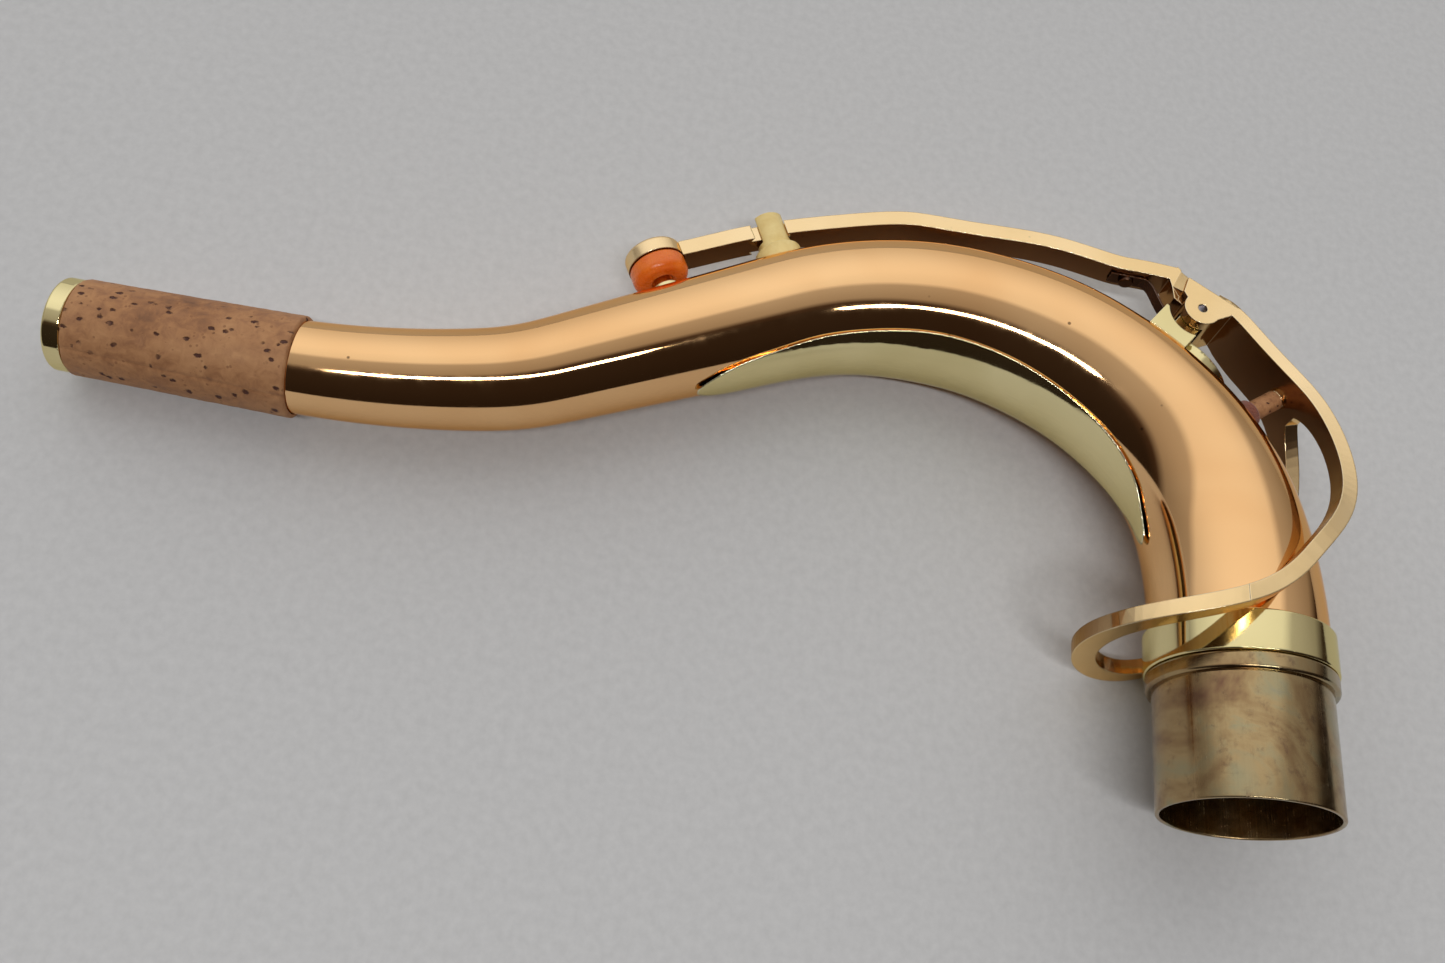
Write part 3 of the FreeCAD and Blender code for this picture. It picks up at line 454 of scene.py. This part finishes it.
def place_map(tree, scale=(1.0, 1.0, 1.0), turn=(0.0, 0.0, 0.0), uv=False):
    """Texture place in metres on the object, or round and along a turned piece."""
    if uv:
        source = add(tree, "ShaderNodeUVMap", uv_map="around").outputs["UV"]
    else:
        source = add(tree, "ShaderNodeTexCoord").outputs["Object"]
    mapping = add(tree, "ShaderNodeMapping")
    mapping.inputs["Scale"].default_value = scale
    mapping.inputs["Rotation"].default_value = [math.radians(angle) for angle in turn]
    tree.links.new(source, mapping.inputs["Vector"])
    return mapping.outputs["Vector"]


def cloud(tree, place, scale, detail=3.0, rough=0.55, twist=0.0):
    """Soft noise from 0 to 1."""
    node = add(tree, "ShaderNodeTexNoise")
    node.inputs["Scale"].default_value = scale
    node.inputs["Detail"].default_value = detail
    node.inputs["Roughness"].default_value = rough
    node.inputs["Distortion"].default_value = twist
    tree.links.new(place, node.inputs["Vector"])
    return node.outputs["Fac"]


def cells(tree, place, scale):
    """Distance to scattered points."""
    node = add(tree, "ShaderNodeTexVoronoi")
    node.inputs["Scale"].default_value = scale
    tree.links.new(place, node.inputs["Vector"])
    return node.outputs["Distance"]


def spread(tree, value, low, high, to_low, to_high):
    """Value mapped from one range to another and held inside it."""
    node = add(tree, "ShaderNodeMapRange", clamp=True, interpolation_type="SMOOTHSTEP")
    node.inputs["From Min"].default_value = low
    node.inputs["From Max"].default_value = high
    node.inputs["To Min"].default_value = to_low
    node.inputs["To Max"].default_value = to_high
    tree.links.new(value, node.inputs["Value"])
    return node.outputs["Result"]


def ramp(tree, value, stops):
    """Colours along a value, from (position, colour) stops."""
    node = add(tree, "ShaderNodeValToRGB")
    elements = node.color_ramp.elements
    while len(elements) < len(stops):
        elements.new(0.5)
    for element, (position, colour) in zip(elements, stops):
        element.position = position
        element.color = (*colour, 1.0)
    tree.links.new(value, node.inputs["Fac"])
    return node.outputs["Color"]


def mix(tree, share, a, b):
    """Colour a turned towards colour b by a share."""
    node = add(tree, "ShaderNodeMix", data_type="RGBA")
    tree.links.new(share, node.inputs["Factor"])
    sockets = [s for s in node.inputs if s.type == "RGBA"]
    for socket, value in zip(sockets, (a, b)):
        if isinstance(value, tuple):
            socket.default_value = (*value, 1.0)
        else:
            tree.links.new(value, socket)
    return next(s for s in node.outputs if s.type == "RGBA")


def combine(tree, kind, a, b):
    """Two values added or multiplied."""
    node = add(tree, "ShaderNodeMath", operation=kind)
    for socket, value in zip(node.inputs, (a, b)):
        if isinstance(value, (int, float)):
            socket.default_value = value
        else:
            tree.links.new(value, socket)
    return node.outputs["Value"]


def bump(tree, height, strength, distance, normal=None):
    """Small relief from a height."""
    node = add(tree, "ShaderNodeBump")
    node.inputs["Strength"].default_value = strength
    node.inputs["Distance"].default_value = distance
    tree.links.new(height, node.inputs["Height"])
    if normal is not None:
        tree.links.new(normal, node.inputs["Normal"])
    return node.outputs["Normal"]


def soft_edges(tree, radius):
    """Normal that rounds the edges a little."""
    node = add(tree, "ShaderNodeBevel", samples=BEVEL_SAMPLES)
    node.inputs["Radius"].default_value = radius * MM
    return node.outputs["Normal"]


def edge_share(tree, rounded_normal):
    """How near a point is to a sharp edge."""
    flat = add(tree, "ShaderNodeNewGeometry").outputs["Normal"]
    node = add(tree, "ShaderNodeVectorMath", operation="DOT_PRODUCT")
    tree.links.new(flat, node.inputs[0])
    tree.links.new(rounded_normal, node.inputs[1])
    return spread(tree, node.outputs["Value"], *EDGE_RANGE, 1.0, 0.0)


def painted_shade_share(tree):
    """How far a face of the key looks towards the middle of the bow: its share of painted shade."""
    source = add(tree, "ShaderNodeTexCoord")
    away = add(tree, "ShaderNodeVectorMath", operation="SUBTRACT")
    tree.links.new(source.outputs["Object"], away.inputs[0])
    away.inputs[1].default_value = NECK @ (Vector(BOW_MIDDLE) * MM)
    way = add(tree, "ShaderNodeVectorMath", operation="NORMALIZE")
    tree.links.new(away.outputs["Vector"], way.inputs[0])
    facing = add(tree, "ShaderNodeVectorMath", operation="DOT_PRODUCT")
    tree.links.new(source.outputs["Normal"], facing.inputs[0])
    tree.links.new(way.outputs["Vector"], facing.inputs[1])
    return spread(tree, facing.outputs["Value"], *PAINTED_SHADE_RANGE, PAINTED_SHADE_MOST, 0.0)


def polished(name, dark, light, worn, rough, rim, coat=0.0, edge=0.22, specks=True, relief=0.02,
             painted_shade=None):
    """Polished or lacquered metal: drifting colour, smudges, fine scratches, specks and edge wear.

    A painted shade is a darker colour painted on the faces that look at the middle of the bow, in place of the
    shade and dark reflections there.
    """
    material = bpy.data.materials.new(name)
    tree, shader = nodes_of(material)
    place = place_map(tree)
    drift = cloud(tree, place, DRIFT_SCALE, 2.0, 0.5, 0.6)
    colour = ramp(tree, drift, ((DRIFT_RANGE[0], dark), (DRIFT_RANGE[1], light)))
    normal = soft_edges(tree, edge)
    colour = mix(tree, edge_share(tree, normal), colour, worn)
    if specks:
        dots = spread(tree, cells(tree, place, SPECK_SCALE), *SPECK_SIZE, 1.0, 0.0)
        rare = spread(tree, cloud(tree, place, SPECK_RARE_SCALE, 1.0), *SPECK_RARE, 0.0, 1.0)
        spot = combine(tree, "MULTIPLY", dots, rare)
        colour = mix(tree, spot, colour, tuple(part * SPECK_DARKNESS for part in dark))
    # Painted shade: the faces that look at the bow's middle are darkened in colour.
    if painted_shade:
        colour = mix(tree, painted_shade_share(tree), colour, painted_shade)
    tree.links.new(colour, shader.inputs["Base Color"])
    smudge = cloud(tree, place, SMUDGE_SCALE, 5.0, 0.6, 0.4)
    broad = cloud(tree, place, FILM_SCALE, 2.0)
    film = combine(tree, "MULTIPLY", smudge, broad)
    tree.links.new(spread(tree, film, *FILM_RANGE, *rough), shader.inputs["Roughness"])
    scratches = cloud(tree, place_map(tree, SCRATCH_SCALE, SCRATCH_TURN), 1.0, 2.0, 0.7)
    waves = cloud(tree, place, WAVE_SCALE, 1.0)
    fine = bump(tree, scratches, relief, SCRATCH_DEPTH * MM, normal)
    surface = bump(tree, waves, relief * WAVE_SHARE, WAVE_DEPTH * MM, fine)
    tree.links.new(surface, shader.inputs["Normal"])
    shader.inputs["Metallic"].default_value = 1.0
    shader.inputs["Specular Tint"].default_value = (*rim, 1.0)
    shader.inputs["Coat Weight"].default_value = coat
    shader.inputs["Coat Roughness"].default_value = COAT_ROUGHNESS
    return material


def tarnished_brass():
    """Bare turned brass of the tenon: brown, olive and greyish patches, and turning marks."""
    material = bpy.data.materials.new("tenon_brass")
    tree, shader = nodes_of(material)
    place = place_map(tree)
    colour = ramp(tree, cloud(tree, place, PATCH_SCALE, 4.0, 0.6, 1.1), PATCHES)
    stains = cloud(tree, place, STAIN_SCALE, 6.0, 0.7, 0.3)
    stained = spread(tree, stains, *STAIN_RANGE, 0.0, STAIN_MOST)
    colour = mix(tree, stained, colour, STAIN_COLOUR)
    normal = soft_edges(tree, TENON_BEVEL)
    colour = mix(tree, edge_share(tree, normal), colour, TENON_WORN)
    tree.links.new(colour, shader.inputs["Base Color"])
    streaks = cloud(tree, place_map(tree, TURNING_SCALE, uv=True), 1.0, 2.0, 0.6)
    lengthways = cloud(tree, place_map(tree, LENGTHWAYS_SCALE, uv=True), 1.0, 3.0, 0.6)
    stain_film = spread(tree, stains, *STAIN_GLOSS_RANGE, *STAIN_ROUGHNESS)
    long_film = spread(tree, lengthways, *MIDDLE_RANGE, *LENGTHWAYS_ROUGHNESS)
    tree.links.new(combine(tree, "ADD", stain_film, long_film), shader.inputs["Roughness"])
    turned = bump(tree, streaks, TURNING_RELIEF[0], TURNING_RELIEF[1] * MM, normal)
    surface = bump(tree, lengthways, LENGTHWAYS_RELIEF[0], LENGTHWAYS_RELIEF[1] * MM, turned)
    tree.links.new(surface, shader.inputs["Normal"])
    shader.inputs["Metallic"].default_value = 1.0
    shader.inputs["Anisotropic"].default_value = TENON_ANISOTROPY
    return material


def cork(name, scale=1.0):
    """Natural cork: warm grain, dark pits and short flecks."""
    material = bpy.data.materials.new(name)
    tree, shader = nodes_of(material)
    place = place_map(tree)
    grain = cloud(tree, place, CORK_GRAIN_SCALE * scale, 6.0, 0.62, 0.5)
    broad = cloud(tree, place, CORK_BROAD_SCALE * scale, 3.0, 0.55, 0.4)
    fine_tone = combine(tree, "MULTIPLY", grain, CORK_GRAIN_SHARE)
    broad_tone = combine(tree, "MULTIPLY", broad, 1.0 - CORK_GRAIN_SHARE)
    colour = ramp(tree, combine(tree, "ADD", fine_tone, broad_tone), CORK_TONES)
    pits = cells(tree, place_map(tree, PIT_STRETCH, PIT_TURN), PIT_SCALE * scale)
    ragged = cloud(tree, place, PIT_EDGE_SCALE * scale, 4.0, 0.7)
    ragged = spread(tree, ragged, *PIT_EDGE_RANGE, -PIT_EDGE, PIT_EDGE)
    pits = spread(tree, combine(tree, "ADD", pits, ragged), *PIT_SIZE, 1.0, 0.0)
    rare = spread(tree, cloud(tree, place, PIT_RARE_SCALE * scale, 2.0), *PIT_RARE, 0.0, 1.0)
    hole = combine(tree, "MULTIPLY", pits, rare)
    dots = spread(tree, cells(tree, place, CRUMB_SCALE * scale), *CRUMB_SIZE, 1.0, 0.0)
    crumbs = combine(tree, "MULTIPLY", dots, spread(tree, grain, *CRUMB_RARE, 0.0, CRUMB_MOST))
    colour = mix(tree, crumbs, colour, CRUMB_COLOUR)
    colour = mix(tree, hole, colour, PIT_COLOUR)
    tree.links.new(colour, shader.inputs["Base Color"])
    tree.links.new(spread(tree, grain, *MIDDLE_RANGE, *CORK_ROUGHNESS), shader.inputs["Roughness"])
    skin = bump(tree, grain, CORK_RELIEF[0], CORK_RELIEF[1] * MM)
    depth = combine(tree, "MULTIPLY", hole, -1.0)
    surface = bump(tree, depth, PIT_RELIEF[0], PIT_RELIEF[1] * MM, skin)
    tree.links.new(surface, shader.inputs["Normal"])
    return material


def plastic(name, dark, light, rough):
    """Moulded plastic with a faint mottle and a matt skin."""
    material = bpy.data.materials.new(name)
    tree, shader = nodes_of(material)
    place = place_map(tree)
    mottle = cloud(tree, place, PLASTIC_MOTTLE_SCALE, 4.0, 0.6, 0.3)
    colour = ramp(tree, mottle, ((PLASTIC_RANGE[0], dark), (PLASTIC_RANGE[1], light)))
    normal = soft_edges(tree, PLASTIC_BEVEL)
    tree.links.new(mix(tree, edge_share(tree, normal), colour, light), shader.inputs["Base Color"])
    skin = cloud(tree, place, PLASTIC_SKIN_SCALE, 4.0, 0.65)
    tree.links.new(spread(tree, skin, *MIDDLE_RANGE, *rough), shader.inputs["Roughness"])
    surface = bump(tree, skin, PLASTIC_RELIEF[0], PLASTIC_RELIEF[1] * MM, normal)
    tree.links.new(surface, shader.inputs["Normal"])
    return material


def felt(name):
    """Pressed felt with short fibres."""
    material = bpy.data.materials.new(name)
    tree, shader = nodes_of(material)
    fibres = cloud(tree, place_map(tree, FELT_STRETCH, FELT_TURN), FELT_SCALE, 6.0, 0.75, 1.2)
    tree.links.new(ramp(tree, fibres, FELT_TONES), shader.inputs["Base Color"])
    tree.links.new(spread(tree, fibres, *MIDDLE_RANGE, *FELT_ROUGHNESS), shader.inputs["Roughness"])
    surface = bump(tree, fibres, FELT_RELIEF[0], FELT_RELIEF[1] * MM)
    tree.links.new(surface, shader.inputs["Normal"])
    shader.inputs["Sheen Weight"].default_value = FELT_SHEEN
    return material


def studio_floor():
    """Pale floor with a barely visible grain."""
    material = bpy.data.materials.new("floor_paper")
    tree, shader = nodes_of(material)
    grain = cloud(tree, place_map(tree), FLOOR_GRAIN_SCALE, 4.0)
    tree.links.new(ramp(tree, grain, FLOOR_TONES), shader.inputs["Base Color"])
    shader.inputs["Roughness"].default_value = FLOOR_ROUGHNESS
    return material


LACQUER = polished(
    "neck_lacquer", (0.86, 0.50, 0.225), (0.94, 0.585, 0.285), (0.95, 0.66, 0.38), (0.04, 0.10),
    (0.97, 0.72, 0.45), coat=0.12, relief=0.008,
)
YELLOW_BRASS = polished(
    "yellow_brass", (0.74, 0.62, 0.30), (0.89, 0.77, 0.42), (0.93, 0.86, 0.60), (0.05, 0.13),
    (0.90, 0.86, 0.62), coat=0.12, relief=0.008,
)
# The key's colour has painted shade: a dark brown on the faces towards the bow's middle.
KEY_BRASS = polished(
    "key_brass", (0.87, 0.62, 0.31), (0.96, 0.72, 0.41), (0.98, 0.88, 0.62), (0.15, 0.26),
    (0.95, 0.76, 0.50), edge=0.3, relief=0.006, painted_shade=(0.19, 0.075, 0.032),
)
STEEL = polished(
    "blued_steel", (0.32, 0.30, 0.33), (0.50, 0.48, 0.50), (0.66, 0.62, 0.60), (0.2, 0.38),
    (0.7, 0.7, 0.7), edge=0.12, specks=False,
)
SPRING_STEEL = polished(
    "spring_steel", (0.085, 0.045, 0.03), (0.15, 0.085, 0.055), (0.45, 0.33, 0.26), (0.2, 0.36),
    (0.5, 0.4, 0.35), edge=0.1, specks=False,
)
TENON_BRASS = tarnished_brass()
CORK = cork("neck_cork_grain")
STOP_CORK = cork("stop_cork_grain", 1.7)
CREAM = plastic("cream_plastic", (0.82, 0.60, 0.215), (0.93, 0.74, 0.325), (0.32, 0.48))
ORANGE = plastic("orange_pad", (0.84, 0.155, 0.012), (0.95, 0.225, 0.022), (0.22, 0.34))
FELT = felt("stop_felt")


def finish_piece(piece, node, material):
    """Give a piece its material, and put it in the place of its node."""
    piece.data.materials.clear()
    piece.data.materials.append(material)
    bodies = frame["record"]["behaviour"]["bodies"]
    body = next(name for name, members in bodies.items() if node in members)
    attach(piece, body)
    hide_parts(node)
    return piece


def refined(node, material, sharp=SHARP_ANGLE):
    """Smoothly shaded piece with the shape of a node."""
    bm = bmesh.new()
    bm.from_mesh(nodes[node].data)
    bmesh.ops.remove_doubles(bm, verts=bm.verts, dist=WELD * MM)
    crisp_flats(bm)
    mesh = bpy.data.meshes.new(node + "_mesh")
    bm.to_mesh(mesh)
    bm.free()
    sharpen(mesh, sharp)
    piece = collection_object(node + "_piece", mesh)
    weights = piece.modifiers.new("even_shading", "WEIGHTED_NORMAL")
    weights.keep_sharp = True
    weights.weight = FACE_WEIGHT
    return finish_piece(piece, node, material)


def make_tube():
    """Neck tube: outer skin, rounded lip and bore, as one closed mesh."""
    low = TENON_LENGTH + BEAD_HEIGHT
    rings = []
    marks = []
    stations = [low + (TUBE_END - low) * n / (TUBE_RINGS - 1) for n in range(TUBE_RINGS)]
    outer = [(station, 0.0) for station in stations[:-1]]
    lip = []
    for step in range(LIP_STEPS + 1):
        turn = math.pi * step / LIP_STEPS
        along = TUBE_END - TUBE_LIP + TUBE_LIP * math.sin(turn)
        lip.append((along, -TUBE_WALL * (1 - math.cos(turn)) / 2))
    inner = [(station, -TUBE_WALL) for station in stations[-2::-2]]
    for number, (station, grow) in enumerate(outer + lip + inner):
        centre, ahead, radius = tube_station(min(station, TUBE_END), low, TUBE_END)
        side = Vector((ahead.y, -ahead.x))
        ring = []
        for step in range(TUBE_SIDES):
            turn = 2 * math.pi * step / TUBE_SIDES
            across = centre + side * (math.cos(turn) * (radius + grow))
            spot = Vector((across.x, across.y, math.sin(turn) * (radius + grow))) * MM
            ring.append(NECK @ spot)
        rings.append(ring)
        marks.append(number * MM)
    mesh = ring_mesh("neck_tube_mesh", rings, marks)
    sharpen(mesh, TURNED_SHARP_ANGLE)
    piece = collection_object("neck_tube_piece", mesh)
    return finish_piece(piece, "neck_tube", LACQUER)


def make_tenon():
    """Tenon with its eased mouth and the step under the bead."""
    top = TENON_LENGTH + BEAD_HEIGHT
    spigot_r = FOOT_R - TUBE_WALL - SOLDER_GAP
    bore = TENON_R - TENON_WALL
    outer = [
        (bore, 0.0), (TENON_R, 0.0), (TENON_R, TENON_LENGTH),
        (TENON_R - BEAD_SINK, TENON_LENGTH), (TENON_R - BEAD_SINK, top), (spigot_r, top),
        (spigot_r, top + SPIGOT_LENGTH), (bore, top + SPIGOT_LENGTH),
    ]
    edges = [TENON_EDGE, TENON_EDGE] + [0] * (len(outer) - 2)
    mesh = lathe("tenon_mesh", rounded(outer, edges), NECK, TENON_SIDES)
    sharpen(mesh, TURNED_SHARP_ANGLE)
    return finish_piece(collection_object("tenon_piece", mesh), "tenon", TENON_BRASS)


def make_cork():
    """Cork sleeve with a lap seam, worn ends and an uneven skin."""
    low = TIP_RING_LENGTH + SOLDER_GAP
    point, way, _ = raw_station(TUBE_END)
    back = -way
    side = Vector((-back.y, back.x, 0.0))
    matrix = Matrix(((-side.x, back.x, 0.0), (-side.y, back.y, 0.0), (0.0, 0.0, 1.0))).to_4x4()
    matrix.translation = Vector((point.x, point.y, 0.0)) * MM
    place = NECK @ matrix
    rings = []
    marks = []
    for number in range(CORK_RINGS):
        share = number / (CORK_RINGS - 1)
        height = share * CORK_LENGTH
        from_end = min(height, CORK_LENGTH - height)
        ease = CORK_ROUND - math.sqrt(max(CORK_ROUND ** 2 - max(CORK_ROUND - from_end, 0.0) ** 2, 0.0))
        ring = []
        for step in range(CORK_SIDES):
            turn = 2 * math.pi * step / CORK_SIDES
            radius = CORK_TIP_R + (CORK_FOOT_R - CORK_TIP_R) * share - ease
            spot = Vector((math.sin(turn) * radius, height, math.cos(turn) * radius))
            rough = noise.fractal(spot * CORK_NOISE_SCALE, *CORK_NOISE) * 0.5 + 0.5
            seam_turn = math.radians(CORK_SEAM_TURN + CORK_SEAM_LEAN * (share - 0.5))
            off_turn = math.atan2(math.sin(turn - seam_turn), math.cos(turn - seam_turn))
            off_seam = abs(off_turn) * radius
            seam = CORK_SEAM_DEPTH * math.exp(-(off_seam / CORK_SEAM_WIDTH) ** 2)
            radius -= CORK_SKIN * min(max(rough, 0.0), 1.0) + seam
            spot = Vector((math.sin(turn) * radius, low + height, math.cos(turn) * radius)) * MM
            ring.append(place @ spot)
        rings.append(ring)
        marks.append(height * MM)
    for number in (CORK_RINGS - 1, CORK_RINGS // 2, 0):
        share = number / (CORK_RINGS - 1)
        height = low + share * CORK_LENGTH
        radius = raw_station(TUBE_END - height)[2] + SOLDER_GAP
        ring = []
        for step in range(CORK_SIDES):
            turn = 2 * math.pi * step / CORK_SIDES
            spot = Vector((math.sin(turn) * radius, height, math.cos(turn) * radius)) * MM
            ring.append(place @ spot)
        rings.append(ring)
        marks.append(height * MM)
    mesh = ring_mesh("neck_cork_mesh", rings, marks)
    sharpen(mesh, CORK_SHARP_ANGLE)
    return finish_piece(collection_object("neck_cork_piece", mesh), "neck_cork", CORK)


make_tube()
make_tenon()
make_cork()
refined("shoulder_bead", TENON_BRASS)
for node in ("collar_ring", "tip_ring", "underside_brace", "vent_pip", "hinge_saddle", "saddle_foot"):
    refined(node, YELLOW_BRASS)
refined("octave_key", KEY_BRASS, KEY_SHARP_ANGLE)
for node in ("pad_cup", "bumper_boss"):
    refined(node, KEY_BRASS)
for node in ("guide_foot", "guide_post"):
    refined(node, CREAM)
refined("pivot_screw", STEEL)
for node in ("flat_spring", "spring_screw"):
    refined(node, SPRING_STEEL)
refined("octave_pad", ORANGE)
refined("bumper_cork", STOP_CORK)
refined("bumper_felt", FELT)


def softbox(name, centre, target, width, height, level):
    """Soft rectangular light whose face shines at a level, aimed at a point."""
    lamp = bpy.data.lights.new(name, "AREA")
    lamp.shape = "RECTANGLE"
    lamp.size = width
    lamp.size_y = height
    lamp.energy = level * math.pi * width * height
    holder = bpy.data.objects.new(name, lamp)
    bpy.context.scene.collection.objects.link(holder)
    way = Vector(target) - Vector(centre)
    holder.rotation_euler = way.to_track_quat("-Z", "Y").to_euler()
    holder.location = centre
    holder.visible_camera = False
    return holder


def tent_cloth():
    """Glow of the light tent: bright on the far side, dimmer overhead and dark on the near side."""
    material = bpy.data.materials.new("tent_cloth")
    material.use_nodes = True
    tree = material.node_tree
    tree.nodes.clear()
    way = add(tree, "ShaderNodeVectorMath", operation="NORMALIZE")
    tree.links.new(add(tree, "ShaderNodeTexCoord").outputs["Object"], way.inputs[0])
    facing = add(tree, "ShaderNodeVectorMath", operation="DOT_PRODUCT")
    facing.inputs[1].default_value = Vector(TENT_WAY).normalized()
    tree.links.new(way.outputs["Vector"], facing.inputs[0])
    glow = ramp(tree, facing.outputs["Value"], TENT_GLOW)
    split = add(tree, "ShaderNodeSeparateXYZ")
    tree.links.new(way.outputs["Vector"], split.inputs["Vector"])
    level = spread(tree, split.outputs["Z"], 0.0, TENT_TOP_SHARE, TENT_LOW_LEVEL, TENT_LEVEL)
    light = add(tree, "ShaderNodeEmission")
    tree.links.new(glow, light.inputs["Color"])
    tree.links.new(level, light.inputs["Strength"])
    output = add(tree, "ShaderNodeOutputMaterial")
    tree.links.new(light.outputs["Emission"], output.inputs["Surface"])
    return material


def studio():
    """Pale floor and backdrop, a light tent and one strip lamp."""
    bpy.ops.mesh.primitive_plane_add(size=FLOOR_SIZE)
    floor = bpy.context.object
    floor.name = "studio_floor"
    floor.data.materials.append(studio_floor())
    bm = bmesh.new()
    bmesh.ops.create_uvsphere(
        bm, u_segments=TENT_AROUND, v_segments=TENT_UPWARD, radius=TENT_RADIUS,
    )
    bmesh.ops.delete(bm, geom=[v for v in bm.verts if v.co.z < TENT_CUT], context="VERTS")
    mesh = bpy.data.meshes.new("light_tent")
    bm.to_mesh(mesh)
    bm.free()
    tent = collection_object("light_tent", mesh)
    tent.data.materials.append(tent_cloth())
    tent.visible_camera = False
    softbox("strip_lamp", STRIP_PLACE, (0.0, 0.0, 0.0), STRIP_LENGTH, STRIP_WIDTH, STRIP_LEVEL)
    world = bpy.data.worlds.new("studio_backdrop")
    bpy.context.scene.world = world
    world.use_nodes = True
    background = next(n for n in world.node_tree.nodes if n.type == "BACKGROUND")
    background.inputs["Color"].default_value = (*BACKDROP, 1.0)


def aim_camera():
    """Camera where the photograph was taken from."""
    lens = bpy.data.cameras.new("photo_camera")
    lens.sensor_fit = "HORIZONTAL"
    lens.sensor_width = SENSOR_WIDTH
    lens.lens = SENSOR_WIDTH * FOCAL_PIXELS / PHOTO_WIDTH
    lens.clip_start = CLIP_START
    camera = bpy.data.objects.new("photo_camera", lens)
    bpy.context.scene.collection.objects.link(camera)
    right = Vector(CAMERA_RIGHT).normalized()
    back = right.cross(Vector(CAMERA_UP)).normalized()
    up = back.cross(right)
    matrix = Matrix((right, up, back)).transposed().to_4x4()
    matrix.translation = Vector(CAMERA_PLACE) * MM
    camera.matrix_world = NECK @ matrix
    bpy.context.scene.camera = camera


studio()
aim_camera()
bpy.context.scene.view_settings.view_transform = "Standard"
